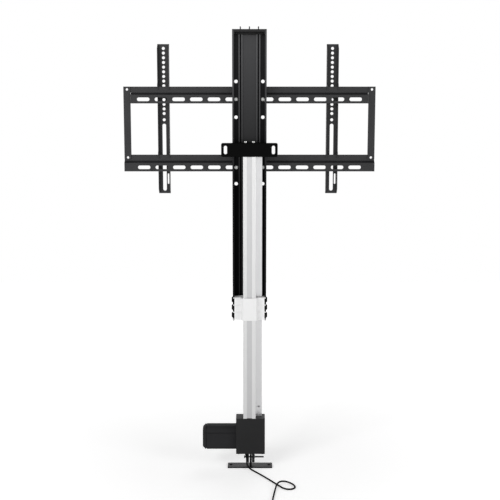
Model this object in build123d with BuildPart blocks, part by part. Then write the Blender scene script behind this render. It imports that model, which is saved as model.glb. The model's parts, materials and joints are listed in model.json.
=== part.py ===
"""Motorized TV mount: a fixed aluminium column with a worm gearbox and a lead screw,
and a black channel that the screw lifts, carrying two slotted rails and two TV arms.

Millimetres, +Z up, +X to the right as seen from the wall, +Y towards the TV.
The origin is on the floor, under the middle of the column.
"""
from build123d import *
import math
import os

os.makedirs("parts", exist_ok=True)

# Fits and clearances
SLIDE_GAP = 0.4
SCREW_GAP = 0.3
SEAT_GAP = 0.1
RUNNING_GAP = 0.05
TOUCH = 0.01

# Column, the fixed aluminium extrusion
COLUMN_HALF = 18.0
COLUMN_FRONT = -34.0
COLUMN_BACK = 12.0
COLUMN_WALL = 2.5
COLUMN_BOTTOM = 154.5
COLUMN_TOP = 947.6
COLUMN_EDGE_R = 1.5
FRONT_GROOVE_W = 14.0
FRONT_GROOVE_D = 3.0
SIDE_CHAMBER_X = 36.0
SIDE_CHAMBER_FRONT = -8.0
REAR_SLOT_W = 14.0
CABLE_HOLE_R = 2.4
CABLE_HOLE_UP = 29.2
END_BLOCK_H = 22.0
END_BLOCK_R = 1.0

# Channel, the moving lift profile that is open towards the wall
CHANNEL_HALF = 48.0
CHANNEL_WALL = 5.0
CHANNEL_WEB = 3.0
CHANNEL_FRONT = -12.0
CHANNEL_BOTTOM = 441.0
CHANNEL_TOP = 1259.2
CHANNEL_EDGE_R = 2.0
WEB_FRONT = 22.0
GUIDE_X = 25.0
GUIDE_W = 11.0
GUIDE_H = 8.0
GUIDE_WALL = 1.8
GUIDE_OPENING = 5.0
WEB_HOLE_X = 37.8
WEB_HOLE_R = 4.9
TOP_ROW_Z = 1120.4
TOP_RAIL_ROW_Z = 1070.7
THIRD_ROW_Z = 1020.6
LOW_RAIL_ROW_Z = 878.9
LAST_ROW_Z = 832.4

# Top cap of the channel and its three studs
CAP_THICK = 3.0
CAP_SKIRT_T = 1.5
CAP_SKIRT_H = 10.0
CAP_LIP_H = 4.0
STUD_R = 1.75
STUD_OUT = 8.5
STUD_PITCH = 25.2
STUD_COUNT = 3
STUD_Y = 8.0
STUD_TIP = 0.5

# Guide collar between the channel's side walls, and its screws
COLLAR_BOTTOM = 445.6
COLLAR_HEIGHT = 64.5
COLLAR_FACE = 3.0
COLLAR_BACK = 11.2
COLLAR_EDGE_R = 2.0
COLLAR_POCKET_X = 30.7
COLLAR_POCKET_W = 11.0
COLLAR_POCKET_H = 24.0
COLLAR_POCKET_D = 20.0
COLLAR_POCKET_R = 2.0
COLLAR_NOSE_HALF = 20.0
COLLAR_STEP_X = 23.2
COLLAR_STEP_Y = -26.0
COLLAR_WING_Y = -20.0
COLLAR_RELIEF = 9.0
COLLAR_RIB_OUT = 3.0
COLLAR_RIB_T = 2.4
COLLAR_RIB_X = 46.5
COLLAR_RIB_COUNT = 4
COLLAR_POCKET_PITCH = 29.0
COLLAR_SCREW_PITCH = 22.5
COLLAR_SCREW_ROWS = 3
COLLAR_SCREW_R = 2.5
COLLAR_SCREW_Y = 0.0
COLLAR_SCREW_DEPTH = 5.6
COLLAR_HEAD_R = 7.6
COLLAR_HEAD_H = 3.4
COLLAR_HEAD_ROUND = 1.5

# Lead screw, nut and the nut's carrier
SCREW_Y = -9.0
SCREW_R = 7.0
JOURNAL_R = 5.0
BUSH_R = 7.0
NUT_R = 12.0
NUT_FLANGE_R = 13.4
NUT_FLANGE_H = 4.0
NUT_LENGTH = 44.0
NUT_UP = 4.0
CARRIER_HALF = 14.0
CARRIER_R = 2.0
CARRIER_NECK_W = 10.0
CARRIER_PLATE_T = 4.0
CARRIER_PLATE_H = 56.0
CARRIER_CORNER = 3.0
CARRIER_PLATE_HALF = 17.0
CARRIER_SCREW_X = 11.0
CARRIER_SCREW_PITCH = 40.0
CARRIER_SCREW_R = 2.5
CARRIER_HEAD_R = 4.6
CARRIER_HEAD_H = 2.8
CARRIER_HEAD_ROUND = 1.1

# Worm wheel, worm and bearings
DRIVE_Z = 88.8
WHEEL_R = 12.6
WHEEL_TOOTH = 1.8
WHEEL_TEETH = 24
WHEEL_WIDTH = 14.0
WORM_R = 4.5
WORM_HALF = 15.0
SHAFT_R = 2.5
BEARING_R = 9.5
BEARING_W = 5.0
BEARING_LOW_Z = 60.0
BEARING_HIGH_Z = 136.0
WORM_BEARING_R = 6.5
WORM_BEARING_W = 5.0
WORM_BEARING_WALL = 2.5

# Gearbox housing, base and screws
BOX_LEFT = -39.0
BOX_RIGHT = 45.0
BOX_BOTTOM = 47.8
BOX_FRONT = -34.0
BOX_BACK = 22.0
BOX_WALL = 3.0
BOX_CORNER = 9.0
BOX_FRONT_CORNER = 2.5
BOX_TOP_R = 1.2
BOX_SLOPE_Y = 12.5
BOX_SLOPE_DROP = 11.0
BASE_THICK = 4.0
BASE_SCREW_X = 70.0
BASE_SCREW_Y = 43.0
BASE_SCREW_R = 2.0
BASE_HEAD_R = 3.8
BASE_HEAD_H = 2.4
BASE_HEAD_ROUND = 0.9

# Motor and its cover
MOTOR_LENGTH = 98.0
MOTOR_BOTTOM = 54.6
MOTOR_TOP = 123.0
MOTOR_HALF_DEPTH = 27.0
MOTOR_WALL = 2.0
MOTOR_ROUND = 19.0
MOTOR_FOOT_ROUND = 9.0
MOTOR_CHAMFER = 8.0
MOTOR_CAN_INSET = 11.0
MOTOR_PLATE = 2.5
MOTOR_SPIGOT_R = 9.0
CAN_R = 24.0
CAN_WALL = 3.0
ARMATURE_R = 17.0
ARMATURE_LENGTH = 44.0
ARMATURE_INSET = 30.0
ARMATURE_SLOTS = 10
ARMATURE_SLOT_W = 2.4
ARMATURE_SLOT_D = 9.0

# Wall bracket and its two screws
BRACKET_HALF = 78.8
BRACKET_HEIGHT = 39.0
BRACKET_THICK = 3.0
BRACKET_CORNER = 5.0
BRACKET_BEND = 2.0
BRACKET_FLANGE_HALF = 30.0
WALL_SLOT_X = 66.8
WALL_SLOT_W = 9.0
WALL_SLOT_L = 23.5
CAP_SCREW_X = 11.2
CAP_SCREW_Y = -22.6
CAP_SCREW_R = 2.5
CAP_SCREW_LENGTH = 18.0
CAP_HEAD_R = 4.6
CAP_HEAD_H = 4.2

# Upper glides on the column's back
GLIDE_PLATE_T = 1.5
GLIDE_PLATE_HALF = 34.0
GLIDE_PLATE_Z = 909.6
GLIDE_PLATE_H = 36.0
GLIDE_SCREW_X = 12.0
GLIDE_SCREW_PITCH = 20.0
GLIDE_SCREW_R = 2.0
GLIDE_HEAD_H = 1.2

# TV rails, end bars and bolts
RAIL_HALF = 356.5
RAIL_THICK = 2.5
RAIL_HEIGHT = 47.2
RAIL_WEB_H = 24.2
RAIL_JOGGLE_H = 6.0
RAIL_JOGGLE = 9.0
RAIL_SLOT_UP = 11.6
RAIL_SLOT_PITCH = 50.0
RAIL_SLOT_COUNT = 13
RAIL_SLOT_L = 35.5
RAIL_SLOT_W = 10.3
END_BAR_W = 20.0
END_BAR_OVERLAP = 12.5
END_HOLE_R = 3.4
END_HOLE_DOWN = 8.0
RAIL_BOLT_R = 4.0
RAIL_FLANGE_R = 8.0
RAIL_FLANGE_T = 1.6
RAIL_HEX_R = 7.5
RAIL_HEX_H = 5.0

# TV arms
ARM_WIDTH = 33.3
ARM_THICK = 2.0
ARM_DEPTH = 21.0
ARM_BEND = 1.5
ARM_RISE = 119.0
ARM_DROP = 65.0
ARM_LEFT_X = -244.0
ARM_RIGHT_X = 235.5
ARM_END_SLOPE = 14.0
ARM_HOLE_R = 4.2
ARM_HOLE_PITCH = 13.05
ARM_HOLE_COUNT = 15
ARM_FIRST_HOLE_DOWN = 12.0
ARM_HOLE_STEP = 200.4
ARM_SLOT_W = 10.3
ARM_SLOT_DOWN = 223.7
ARM_SLOT_UP = 7.5
ARM_SLIT_W = 4.6
ARM_SLIT_L = 30.0
ARM_SLIT_X = 10.4
ARM_SLIT_UP = 42.0
HOOK_FINGER = 4.0
HOOK_REACH = 9.0
HOOK_ABOVE = 8.0
HOOK_SLANT = 4.0
HOOK_ROOT = 2.0

# Foot, its fork and its pin
FOOT_WIDTH = 131.0
FOOT_X = 1.5
FOOT_DEPTH = 36.0
FOOT_THICK = 4.0
FOOT_Y = -4.0
FOOT_CORNER = 3.0
FOOT_HOLE_IN = 9.5
FOOT_HOLE_R = 2.75
FOOT_HOLE_SINK = 2.4
FORK_MID_X = 3.7
FORK_GAP_LEFT = 2.0
FORK_GAP_RIGHT = 0.5
TONGUE_T = 6.0
TONGUE_R = 8.0
EAR_T = 8.0
EAR_HALF = 9.0
EAR_BOTTOM = 13.0
EAR_CORNER = 5.0
PIN_R = 2.25
PIN_Z = 28.5
PIN_HEAD_OUT = 6.7
PIN_END_OUT = 27.0
PIN_HEAD_R = 4.2
PIN_HEAD_T = 2.5
PIN_TIP = 0.6
CLIP_T = 1.2
CLIP_MOUTH_W = 2.7
CLIP_MOUTH_L = 6.7

# Cord, its gland, its coil and the connector at its end
CORD_R = 2.4
CORD_SIDES = 12
ARC_SHARE = 0.45
FLOOR_GAP = 0.05
CROSSING_GAP = 0.65
CORD_EXIT = (-8.0, -28.5)
GLAND_NECK_R = 4.0
GLAND_R = 5.4
GLAND_END_R = 3.2
GLAND_LENGTH = 14.0
COIL_MIDDLE_R = 25.0
COIL_GAP = 1.5
COIL_LAYER_TURNS = 3
COIL_START_X = 61.0
COIL_CENTRE_Y = -322.0
COIL_TAIL = 26.0
RELIEF_R = 3.4
RELIEF_END_R = 4.6
RELIEF_LENGTH = 18.0
PLUG_R = 7.7
PLUG_LENGTH = 26.0
PLUG_EDGE_R = 1.0
PLUG_SHELL_R = 6.6
PLUG_SHELL_WALL = 0.6
PLUG_SHELL_OUT = 9.0

# Places that follow from the sizes above
CHANNEL_INNER = CHANNEL_HALF - CHANNEL_WALL
CHANNEL_LENGTH = CHANNEL_TOP - CHANNEL_BOTTOM
WEB_BACK = WEB_FRONT + CHANNEL_WEB
WEB_HOLE_ROWS = (TOP_ROW_Z, TOP_RAIL_ROW_Z, THIRD_ROW_Z, LOW_RAIL_ROW_Z, LAST_ROW_Z)
GUIDE_FRONT = WEB_FRONT - GUIDE_H
CAVITY_HALF = COLUMN_HALF - COLUMN_WALL
CAVITY_FRONT = COLUMN_FRONT + FRONT_GROOVE_D + COLUMN_WALL
CAVITY_BACK = COLUMN_BACK - COLUMN_WALL
COLLAR_FRONT = COLUMN_FRONT - SLIDE_GAP - COLLAR_FACE
COLLAR_MID = COLLAR_BOTTOM + COLLAR_HEIGHT / 2
NUT_BOTTOM = COLLAR_BOTTOM + NUT_UP
CARRIER_MID = NUT_BOTTOM + NUT_LENGTH / 2
SCREW_SHOULDER = BEARING_HIGH_Z + BEARING_W + SCREW_GAP
BOX_TOP = COLUMN_BOTTOM
BOX_MID_X = (BOX_LEFT + BOX_RIGHT) / 2
BOX_MID_Y = (BOX_FRONT + BOX_BACK) / 2
MOTOR_Y = SCREW_Y + WHEEL_R + WHEEL_TOOTH + SLIDE_GAP + WORM_R
MOTOR_LEFT = BOX_LEFT - MOTOR_LENGTH
CAN_LEFT = MOTOR_LEFT + MOTOR_CAN_INSET
SHAFT_RIGHT = BOX_RIGHT - BOX_WALL - SLIDE_GAP
BRACKET_TOP = COLUMN_TOP + BRACKET_THICK
BRACKET_BOTTOM = BRACKET_TOP - BRACKET_HEIGHT
BRACKET_FRONT = COLUMN_FRONT - BRACKET_THICK
WALL_SLOT_Z = BRACKET_BOTTOM + BRACKET_HEIGHT / 2
GLIDE_PLATE_MID = GLIDE_PLATE_Z + GLIDE_PLATE_H / 2
TOP_RAIL_BOTTOM = TOP_RAIL_ROW_Z - RAIL_SLOT_UP
LOW_RAIL_BOTTOM = LOW_RAIL_ROW_Z - RAIL_SLOT_UP
END_BAR_X = RAIL_HALF - END_BAR_W / 2
LIP_FRONT = WEB_BACK + RAIL_JOGGLE
LIP_BACK = LIP_FRONT + RAIL_THICK
ARM_FRONT = LIP_BACK + SLIDE_GAP
ARM_BACK = ARM_FRONT + ARM_DEPTH
ARM_TOP = TOP_RAIL_BOTTOM + RAIL_HEIGHT + ARM_RISE
ARM_BOTTOM = LOW_RAIL_BOTTOM - ARM_DROP
TONGUE_LEFT = FORK_MID_X - TONGUE_T / 2
EAR_LEFT = TONGUE_LEFT - FORK_GAP_LEFT - EAR_T
EAR_RIGHT = TONGUE_LEFT + TONGUE_T + FORK_GAP_RIGHT
PIN_LEFT = EAR_LEFT - PIN_HEAD_OUT
PIN_RIGHT = EAR_RIGHT + EAR_T + PIN_END_OUT
CORD_FLOOR = CORD_R + FLOOR_GAP


def save(part, name):
    """Label a finished piece and write it to its own file."""
    part.label = name
    export_step(part, "parts/" + name + ".step")


def block(x0, x1, y0, y1, mode=Mode.ADD):
    """A rectangle given by its edges, in the sketch that is being built."""
    with Locations(((x0 + x1) / 2, (y0 + y1) / 2)):
        Rectangle(x1 - x0, y1 - y0, mode=mode)


def wall_plane(y):
    """An upright plane at y that faces the wall, with X across and Z up."""
    return Plane.XZ.offset(-y)


def side_plane(x):
    """An upright plane at x that faces +X, with Y across and Z up."""
    return Plane.YZ.offset(x)


# Column: one extrusion with two front ribs, a screw chamber and a narrow side chamber
with BuildPart() as column_profile:
    with BuildSketch(Plane.XY.offset(COLUMN_BOTTOM)) as section:
        block(-COLUMN_HALF, COLUMN_HALF, COLUMN_FRONT, COLUMN_BACK)
        block(COLUMN_HALF, SIDE_CHAMBER_X, SIDE_CHAMBER_FRONT, COLUMN_BACK)
        fillet(section.vertices().group_by(Axis.Y)[0], radius=COLUMN_EDGE_R)
        groove = FRONT_GROOVE_W / 2
        block(-groove, groove, COLUMN_FRONT, COLUMN_FRONT + FRONT_GROOVE_D, Mode.SUBTRACT)
        block(-CAVITY_HALF, CAVITY_HALF, CAVITY_FRONT, CAVITY_BACK, Mode.SUBTRACT)
        block(COLUMN_HALF + COLUMN_WALL / 2, SIDE_CHAMBER_X - COLUMN_WALL,
              SIDE_CHAMBER_FRONT + COLUMN_WALL, CAVITY_BACK, Mode.SUBTRACT)
        block(-REAR_SLOT_W / 2, REAR_SLOT_W / 2, CAVITY_BACK, COLUMN_BACK, Mode.SUBTRACT)
    extrude(amount=COLUMN_TOP - COLUMN_BOTTOM)
    with BuildSketch(wall_plane(SIDE_CHAMBER_FRONT)):
        with Locations(((COLUMN_HALF + SIDE_CHAMBER_X) / 2, COLUMN_BOTTOM + CABLE_HOLE_UP)):
            Circle(CABLE_HOLE_R)
    extrude(amount=-COLUMN_WALL, mode=Mode.SUBTRACT)
    with BuildSketch(wall_plane(CAVITY_BACK)):
        with Locations((0, GLIDE_PLATE_MID)):
            with GridLocations(2 * GLIDE_SCREW_X, GLIDE_SCREW_PITCH, 2, 2):
                Circle(GLIDE_SCREW_R)
    extrude(amount=-COLUMN_WALL, mode=Mode.SUBTRACT)
save(column_profile.part, "column_profile")


def end_block(bottom, bore):
    """A block that fills the screw chamber at one end of the column."""
    with BuildPart() as made:
        with BuildSketch(Plane.XY.offset(bottom)) as outline:
            block(-CAVITY_HALF + SEAT_GAP, CAVITY_HALF - SEAT_GAP,
                  CAVITY_FRONT + SEAT_GAP, CAVITY_BACK - SEAT_GAP)
            fillet(outline.vertices(), radius=END_BLOCK_R)
            with Locations((0, SCREW_Y)):
                Circle(bore, mode=Mode.SUBTRACT)
            with Locations((-CAP_SCREW_X, CAP_SCREW_Y), (CAP_SCREW_X, CAP_SCREW_Y)):
                Circle(CAP_SCREW_R, mode=Mode.SUBTRACT)
        extrude(amount=END_BLOCK_H)
    return made.part


save(end_block(COLUMN_TOP - END_BLOCK_H, BUSH_R), "column_top_block")
save(end_block(COLUMN_BOTTOM, SCREW_R + SCREW_GAP), "column_foot_block")

with BuildPart() as screw_bush:
    with BuildSketch(Plane.XY.offset(COLUMN_TOP - END_BLOCK_H)):
        with Locations((0, SCREW_Y)):
            Circle(BUSH_R)
            Circle(JOURNAL_R + RUNNING_GAP, mode=Mode.SUBTRACT)
    extrude(amount=END_BLOCK_H)
save(screw_bush.part, "screw_bush")


def cap_screws(seat, way):
    """Two screws into an end block; their heads lie on seat and point up or down."""
    with BuildPart() as made:
        with BuildSketch(Plane.XY.offset(seat)):
            with Locations((-CAP_SCREW_X, CAP_SCREW_Y), (CAP_SCREW_X, CAP_SCREW_Y)):
                Circle(CAP_SCREW_R)
        extrude(amount=-way * CAP_SCREW_LENGTH)
        with BuildSketch(Plane.XY.offset(seat)):
            with Locations((-CAP_SCREW_X, CAP_SCREW_Y), (CAP_SCREW_X, CAP_SCREW_Y)):
                Circle(CAP_HEAD_R)
        extrude(amount=way * CAP_HEAD_H)
    return made.part


# Wall bracket: an upright plate with two slots, and a flange bent over the column's top
with BuildPart() as wall_bracket:
    with BuildSketch(wall_plane(COLUMN_FRONT)) as face:
        block(-BRACKET_HALF, BRACKET_HALF, BRACKET_BOTTOM, BRACKET_TOP)
        fillet(face.vertices(), radius=BRACKET_CORNER)
        with Locations((-WALL_SLOT_X, WALL_SLOT_Z), (WALL_SLOT_X, WALL_SLOT_Z)):
            SlotOverall(WALL_SLOT_L, WALL_SLOT_W, rotation=90, mode=Mode.SUBTRACT)
    extrude(amount=BRACKET_THICK)
    with BuildSketch(Plane.XY.offset(COLUMN_TOP)) as flange:
        block(-BRACKET_FLANGE_HALF, BRACKET_FLANGE_HALF, BRACKET_FRONT, COLUMN_BACK)
        with Locations((-CAP_SCREW_X, CAP_SCREW_Y), (CAP_SCREW_X, CAP_SCREW_Y)):
            Circle(CAP_SCREW_R, mode=Mode.SUBTRACT)
        fillet(flange.vertices().group_by(Axis.Y)[-1], radius=BRACKET_CORNER)
    extrude(amount=BRACKET_THICK)
    bend = wall_bracket.edges().filter_by(Axis.X).filter_by(
        lambda e: abs(e.center().Y - BRACKET_FRONT) < TOUCH and abs(e.center().Z - BRACKET_TOP) < TOUCH)
    fillet(bend, radius=BRACKET_BEND)
save(wall_bracket.part, "wall_bracket")
save(cap_screws(BRACKET_TOP, 1), "wall_bracket_screws")

# Upper glides: a plate on the column's back with two plastic shoes in the channel's guides
with BuildPart() as glide_plate:
    with BuildSketch(Plane.XY.offset(GLIDE_PLATE_Z)):
        block(-GLIDE_PLATE_HALF, GLIDE_PLATE_HALF, COLUMN_BACK, COLUMN_BACK + GLIDE_PLATE_T)
    extrude(amount=GLIDE_PLATE_H)
    with BuildSketch(wall_plane(COLUMN_BACK)):
        with Locations((0, GLIDE_PLATE_MID)):
            with GridLocations(2 * GLIDE_SCREW_X, GLIDE_SCREW_PITCH, 2, 2):
                Circle(GLIDE_SCREW_R)
    extrude(amount=-GLIDE_PLATE_T, mode=Mode.SUBTRACT)
save(glide_plate.part, "glide_plate")

with BuildPart() as glide_screws:
    with BuildSketch(wall_plane(CAVITY_BACK)):
        with Locations((0, GLIDE_PLATE_MID)):
            with GridLocations(2 * GLIDE_SCREW_X, GLIDE_SCREW_PITCH, 2, 2):
                Circle(GLIDE_SCREW_R)
    extrude(amount=-COLUMN_WALL - GLIDE_PLATE_T)
    with BuildSketch(wall_plane(COLUMN_BACK + GLIDE_PLATE_T)):
        with Locations((0, GLIDE_PLATE_MID)):
            with GridLocations(2 * GLIDE_SCREW_X, GLIDE_SCREW_PITCH, 2, 2):
                Circle(2 * GLIDE_SCREW_R)
    extrude(amount=-GLIDE_HEAD_H)
save(glide_screws.part, "glide_screws")

with BuildPart() as upper_glides:
    with BuildSketch(Plane.XY.offset(GLIDE_PLATE_Z)):
        for x in (-GUIDE_X, GUIDE_X):
            neck = GUIDE_OPENING / 2 - SLIDE_GAP
            head = GUIDE_W / 2 - GUIDE_WALL - SLIDE_GAP
            block(x - neck, x + neck, COLUMN_BACK + GLIDE_PLATE_T,
                  GUIDE_FRONT + GUIDE_WALL + SLIDE_GAP)
            block(x - head, x + head, GUIDE_FRONT + GUIDE_WALL + SLIDE_GAP, WEB_FRONT - SLIDE_GAP)
    extrude(amount=GLIDE_PLATE_H)
save(upper_glides.part, "upper_glides")

# Channel: web, two side walls and two C-shaped guides on the web
with BuildPart() as lift_profile:
    with BuildSketch(Plane.XY.offset(CHANNEL_BOTTOM)) as section:
        block(-CHANNEL_HALF, CHANNEL_HALF, CHANNEL_FRONT, WEB_BACK)
        fillet(section.vertices().group_by(Axis.Y)[-1], radius=CHANNEL_EDGE_R)
        block(-CHANNEL_INNER, CHANNEL_INNER, CHANNEL_FRONT, WEB_FRONT, Mode.SUBTRACT)
        for x in (-GUIDE_X, GUIDE_X):
            inner = GUIDE_W / 2 - GUIDE_WALL
            block(x - GUIDE_W / 2, x + GUIDE_W / 2, GUIDE_FRONT, WEB_FRONT)
            block(x - inner, x + inner, GUIDE_FRONT + GUIDE_WALL, WEB_FRONT, Mode.SUBTRACT)
            block(x - GUIDE_OPENING / 2, x + GUIDE_OPENING / 2, GUIDE_FRONT,
                  GUIDE_FRONT + GUIDE_WALL, Mode.SUBTRACT)
    extrude(amount=CHANNEL_LENGTH)
    with BuildSketch(wall_plane(WEB_FRONT)):
        for z in WEB_HOLE_ROWS:
            with Locations((-WEB_HOLE_X, z), (WEB_HOLE_X, z)):
                Circle(WEB_HOLE_R)
        with Locations((0, CARRIER_MID)):
            with GridLocations(2 * CARRIER_SCREW_X, CARRIER_SCREW_PITCH, 2, 2):
                Circle(CARRIER_SCREW_R)
    extrude(amount=-CHANNEL_WEB, mode=Mode.SUBTRACT)
    with BuildSketch(side_plane(-CHANNEL_HALF)):
        with Locations((COLLAR_SCREW_Y, COLLAR_MID)):
            with GridLocations(0, COLLAR_SCREW_PITCH, 1, COLLAR_SCREW_ROWS):
                Circle(COLLAR_SCREW_R)
    extrude(amount=2 * CHANNEL_HALF, mode=Mode.SUBTRACT)
save(lift_profile.part, "lift_profile")

# Top cap with a skirt inside the channel, and three short studs
with BuildPart() as lift_top_cap:
    with BuildSketch(Plane.XY.offset(CHANNEL_TOP)) as plate:
        block(-CHANNEL_HALF, CHANNEL_HALF, CHANNEL_FRONT, WEB_BACK)
        fillet(plate.vertices().group_by(Axis.Y)[-1], radius=CHANNEL_EDGE_R)
        with Locations((0, STUD_Y)):
            with GridLocations(STUD_PITCH, 0, STUD_COUNT, 1):
                Circle(STUD_R, mode=Mode.SUBTRACT)
    extrude(amount=CAP_THICK)
    with BuildSketch(Plane.XY.offset(CHANNEL_TOP)):
        skirt_x = CHANNEL_INNER - SEAT_GAP
        skirt_back = GUIDE_FRONT - SLIDE_GAP
        block(-skirt_x, skirt_x, CHANNEL_FRONT, skirt_back)
        block(-skirt_x + CAP_SKIRT_T, skirt_x - CAP_SKIRT_T, CHANNEL_FRONT,
              skirt_back - CAP_SKIRT_T, Mode.SUBTRACT)
    extrude(amount=-CAP_SKIRT_H)
    with BuildSketch(Plane.XY.offset(CHANNEL_TOP)):
        block(-skirt_x + CAP_SKIRT_T, skirt_x - CAP_SKIRT_T, CHANNEL_FRONT,
              CHANNEL_FRONT + CAP_SKIRT_T)
    extrude(amount=-CAP_LIP_H)
save(lift_top_cap.part, "lift_top_cap")

with BuildPart() as top_studs:
    with BuildSketch(Plane.XY.offset(CHANNEL_TOP)):
        with Locations((0, STUD_Y)):
            with GridLocations(STUD_PITCH, 0, STUD_COUNT, 1):
                Circle(STUD_R)
    extrude(amount=CAP_THICK + STUD_OUT)
    stud_ends = top_studs.faces().sort_by(Axis.Z)[-STUD_COUNT:]
    chamfer(stud_ends.edges(), length=STUD_TIP)
save(top_studs.part, "top_studs")

# Guide collar: a moulded block screwed between the channel's walls, open at the back
with BuildPart() as guide_collar:
    with BuildSketch(Plane.XY.offset(COLLAR_BOTTOM)) as section:
        with BuildLine():
            Polyline((-CHANNEL_INNER, COLLAR_BACK), (-CHANNEL_INNER, COLLAR_WING_Y),
                     (-COLLAR_STEP_X, COLLAR_WING_Y), (-COLLAR_STEP_X, COLLAR_STEP_Y),
                     (-COLLAR_NOSE_HALF, COLLAR_FRONT), (COLLAR_NOSE_HALF, COLLAR_FRONT),
                     (COLLAR_STEP_X, COLLAR_STEP_Y), (COLLAR_STEP_X, COLLAR_WING_Y),
                     (CHANNEL_INNER, COLLAR_WING_Y), (CHANNEL_INNER, COLLAR_BACK), close=True)
        make_face()
        fillet(section.vertices().group_by(Axis.Y)[0], radius=COLLAR_EDGE_R)
        block(-COLUMN_HALF - SLIDE_GAP, COLUMN_HALF + SLIDE_GAP,
              COLUMN_FRONT - SLIDE_GAP, COLLAR_BACK, Mode.SUBTRACT)
        block(COLUMN_HALF, SIDE_CHAMBER_X + SLIDE_GAP,
              SIDE_CHAMBER_FRONT - COLLAR_RELIEF, COLLAR_BACK, Mode.SUBTRACT)
    extrude(amount=COLLAR_HEIGHT)
    rib_pitch = (COLLAR_HEIGHT - COLLAR_RIB_T) / (COLLAR_RIB_COUNT - 1)
    with BuildSketch(wall_plane(COLLAR_WING_Y)):
        with Locations((0, COLLAR_MID)):
            with GridLocations(COLLAR_STEP_X + COLLAR_RIB_X, rib_pitch, 2, COLLAR_RIB_COUNT):
                Rectangle(COLLAR_RIB_X - COLLAR_STEP_X, COLLAR_RIB_T)
    extrude(amount=COLLAR_RIB_OUT)
    with BuildSketch(wall_plane(COLLAR_BACK)):
        with Locations((-COLLAR_POCKET_X, COLLAR_MID)):
            with GridLocations(0, COLLAR_POCKET_PITCH, 1, 2):
                RectangleRounded(COLLAR_POCKET_W, COLLAR_POCKET_H, COLLAR_POCKET_R)
    extrude(amount=COLLAR_POCKET_D, mode=Mode.SUBTRACT)
    with BuildSketch(side_plane(-CHANNEL_INNER)):
        with Locations((COLLAR_SCREW_Y, COLLAR_MID)):
            with GridLocations(0, COLLAR_SCREW_PITCH, 1, COLLAR_SCREW_ROWS):
                Circle(COLLAR_SCREW_R)
    extrude(amount=COLLAR_SCREW_DEPTH, mode=Mode.SUBTRACT)
    with BuildSketch(side_plane(CHANNEL_INNER)):
        with Locations((COLLAR_SCREW_Y, COLLAR_MID)):
            with GridLocations(0, COLLAR_SCREW_PITCH, 1, COLLAR_SCREW_ROWS):
                Circle(COLLAR_SCREW_R)
    extrude(amount=-COLLAR_SCREW_DEPTH, mode=Mode.SUBTRACT)
save(guide_collar.part, "guide_collar")

with BuildPart() as collar_screws:
    for side in (-1, 1):
        with BuildSketch(side_plane(side * (CHANNEL_INNER - COLLAR_SCREW_DEPTH))):
            with Locations((COLLAR_SCREW_Y, COLLAR_MID)):
                with GridLocations(0, COLLAR_SCREW_PITCH, 1, COLLAR_SCREW_ROWS):
                    Circle(COLLAR_SCREW_R)
        extrude(amount=side * (CHANNEL_WALL + COLLAR_SCREW_DEPTH))
        with BuildSketch(side_plane(side * CHANNEL_HALF)):
            with Locations((COLLAR_SCREW_Y, COLLAR_MID)):
                with GridLocations(0, COLLAR_SCREW_PITCH, 1, COLLAR_SCREW_ROWS):
                    Circle(COLLAR_HEAD_R)
        extrude(amount=side * COLLAR_HEAD_H)
    head_rims = collar_screws.edges().filter_by(GeomType.CIRCLE).filter_by(
        lambda e: abs(abs(e.center().X) - CHANNEL_HALF - COLLAR_HEAD_H) < TOUCH)
    fillet(head_rims, radius=COLLAR_HEAD_ROUND)
save(collar_screws.part, "collar_screws")

# Lead screw with its nut, and the carrier that takes the lift through the column's slot
with BuildPart() as lead_screw:
    with BuildSketch(Plane.XY.offset(SCREW_SHOULDER)):
        with Locations((0, SCREW_Y)):
            Circle(SCREW_R)
    extrude(amount=COLUMN_TOP - END_BLOCK_H - SLIDE_GAP - SCREW_SHOULDER)
    with BuildSketch(Plane.XY.offset(BEARING_LOW_Z)):
        with Locations((0, SCREW_Y)):
            Circle(JOURNAL_R)
    extrude(amount=COLUMN_TOP - SLIDE_GAP - BEARING_LOW_Z)
save(lead_screw.part, "lead_screw")

with BuildPart() as drive_nut:
    with BuildSketch(Plane.XY.offset(NUT_BOTTOM)):
        with Locations((0, SCREW_Y)):
            Circle(NUT_FLANGE_R)
    extrude(amount=NUT_FLANGE_H)
    with BuildSketch(Plane.XY.offset(NUT_BOTTOM + NUT_FLANGE_H)):
        with Locations((0, SCREW_Y)):
            Circle(NUT_R)
    extrude(amount=NUT_LENGTH - NUT_FLANGE_H)
    with BuildSketch(Plane.XY.offset(NUT_BOTTOM)):
        with Locations((0, SCREW_Y)):
            Circle(SCREW_R + SCREW_GAP)
    extrude(amount=NUT_LENGTH, mode=Mode.SUBTRACT)
save(drive_nut.part, "drive_nut")

with BuildPart() as nut_carrier:
    with BuildSketch(Plane.XY.offset(NUT_BOTTOM + NUT_FLANGE_H)) as section:
        block(-CARRIER_HALF, CARRIER_HALF, SCREW_Y - CARRIER_HALF, SCREW_Y + CARRIER_HALF)
        fillet(section.vertices(), radius=CARRIER_R)
        block(-CARRIER_NECK_W / 2, CARRIER_NECK_W / 2, SCREW_Y, WEB_FRONT - CARRIER_PLATE_T)
        with Locations((0, SCREW_Y)):
            Circle(NUT_R, mode=Mode.SUBTRACT)
    extrude(amount=NUT_LENGTH - NUT_FLANGE_H)
    with BuildSketch(wall_plane(WEB_FRONT)) as plate:
        with Locations((0, CARRIER_MID)):
            RectangleRounded(2 * CARRIER_PLATE_HALF, CARRIER_PLATE_H, CARRIER_CORNER)
            with GridLocations(2 * CARRIER_SCREW_X, CARRIER_SCREW_PITCH, 2, 2):
                Circle(CARRIER_SCREW_R, mode=Mode.SUBTRACT)
    extrude(amount=CARRIER_PLATE_T)
save(nut_carrier.part, "nut_carrier")

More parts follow.
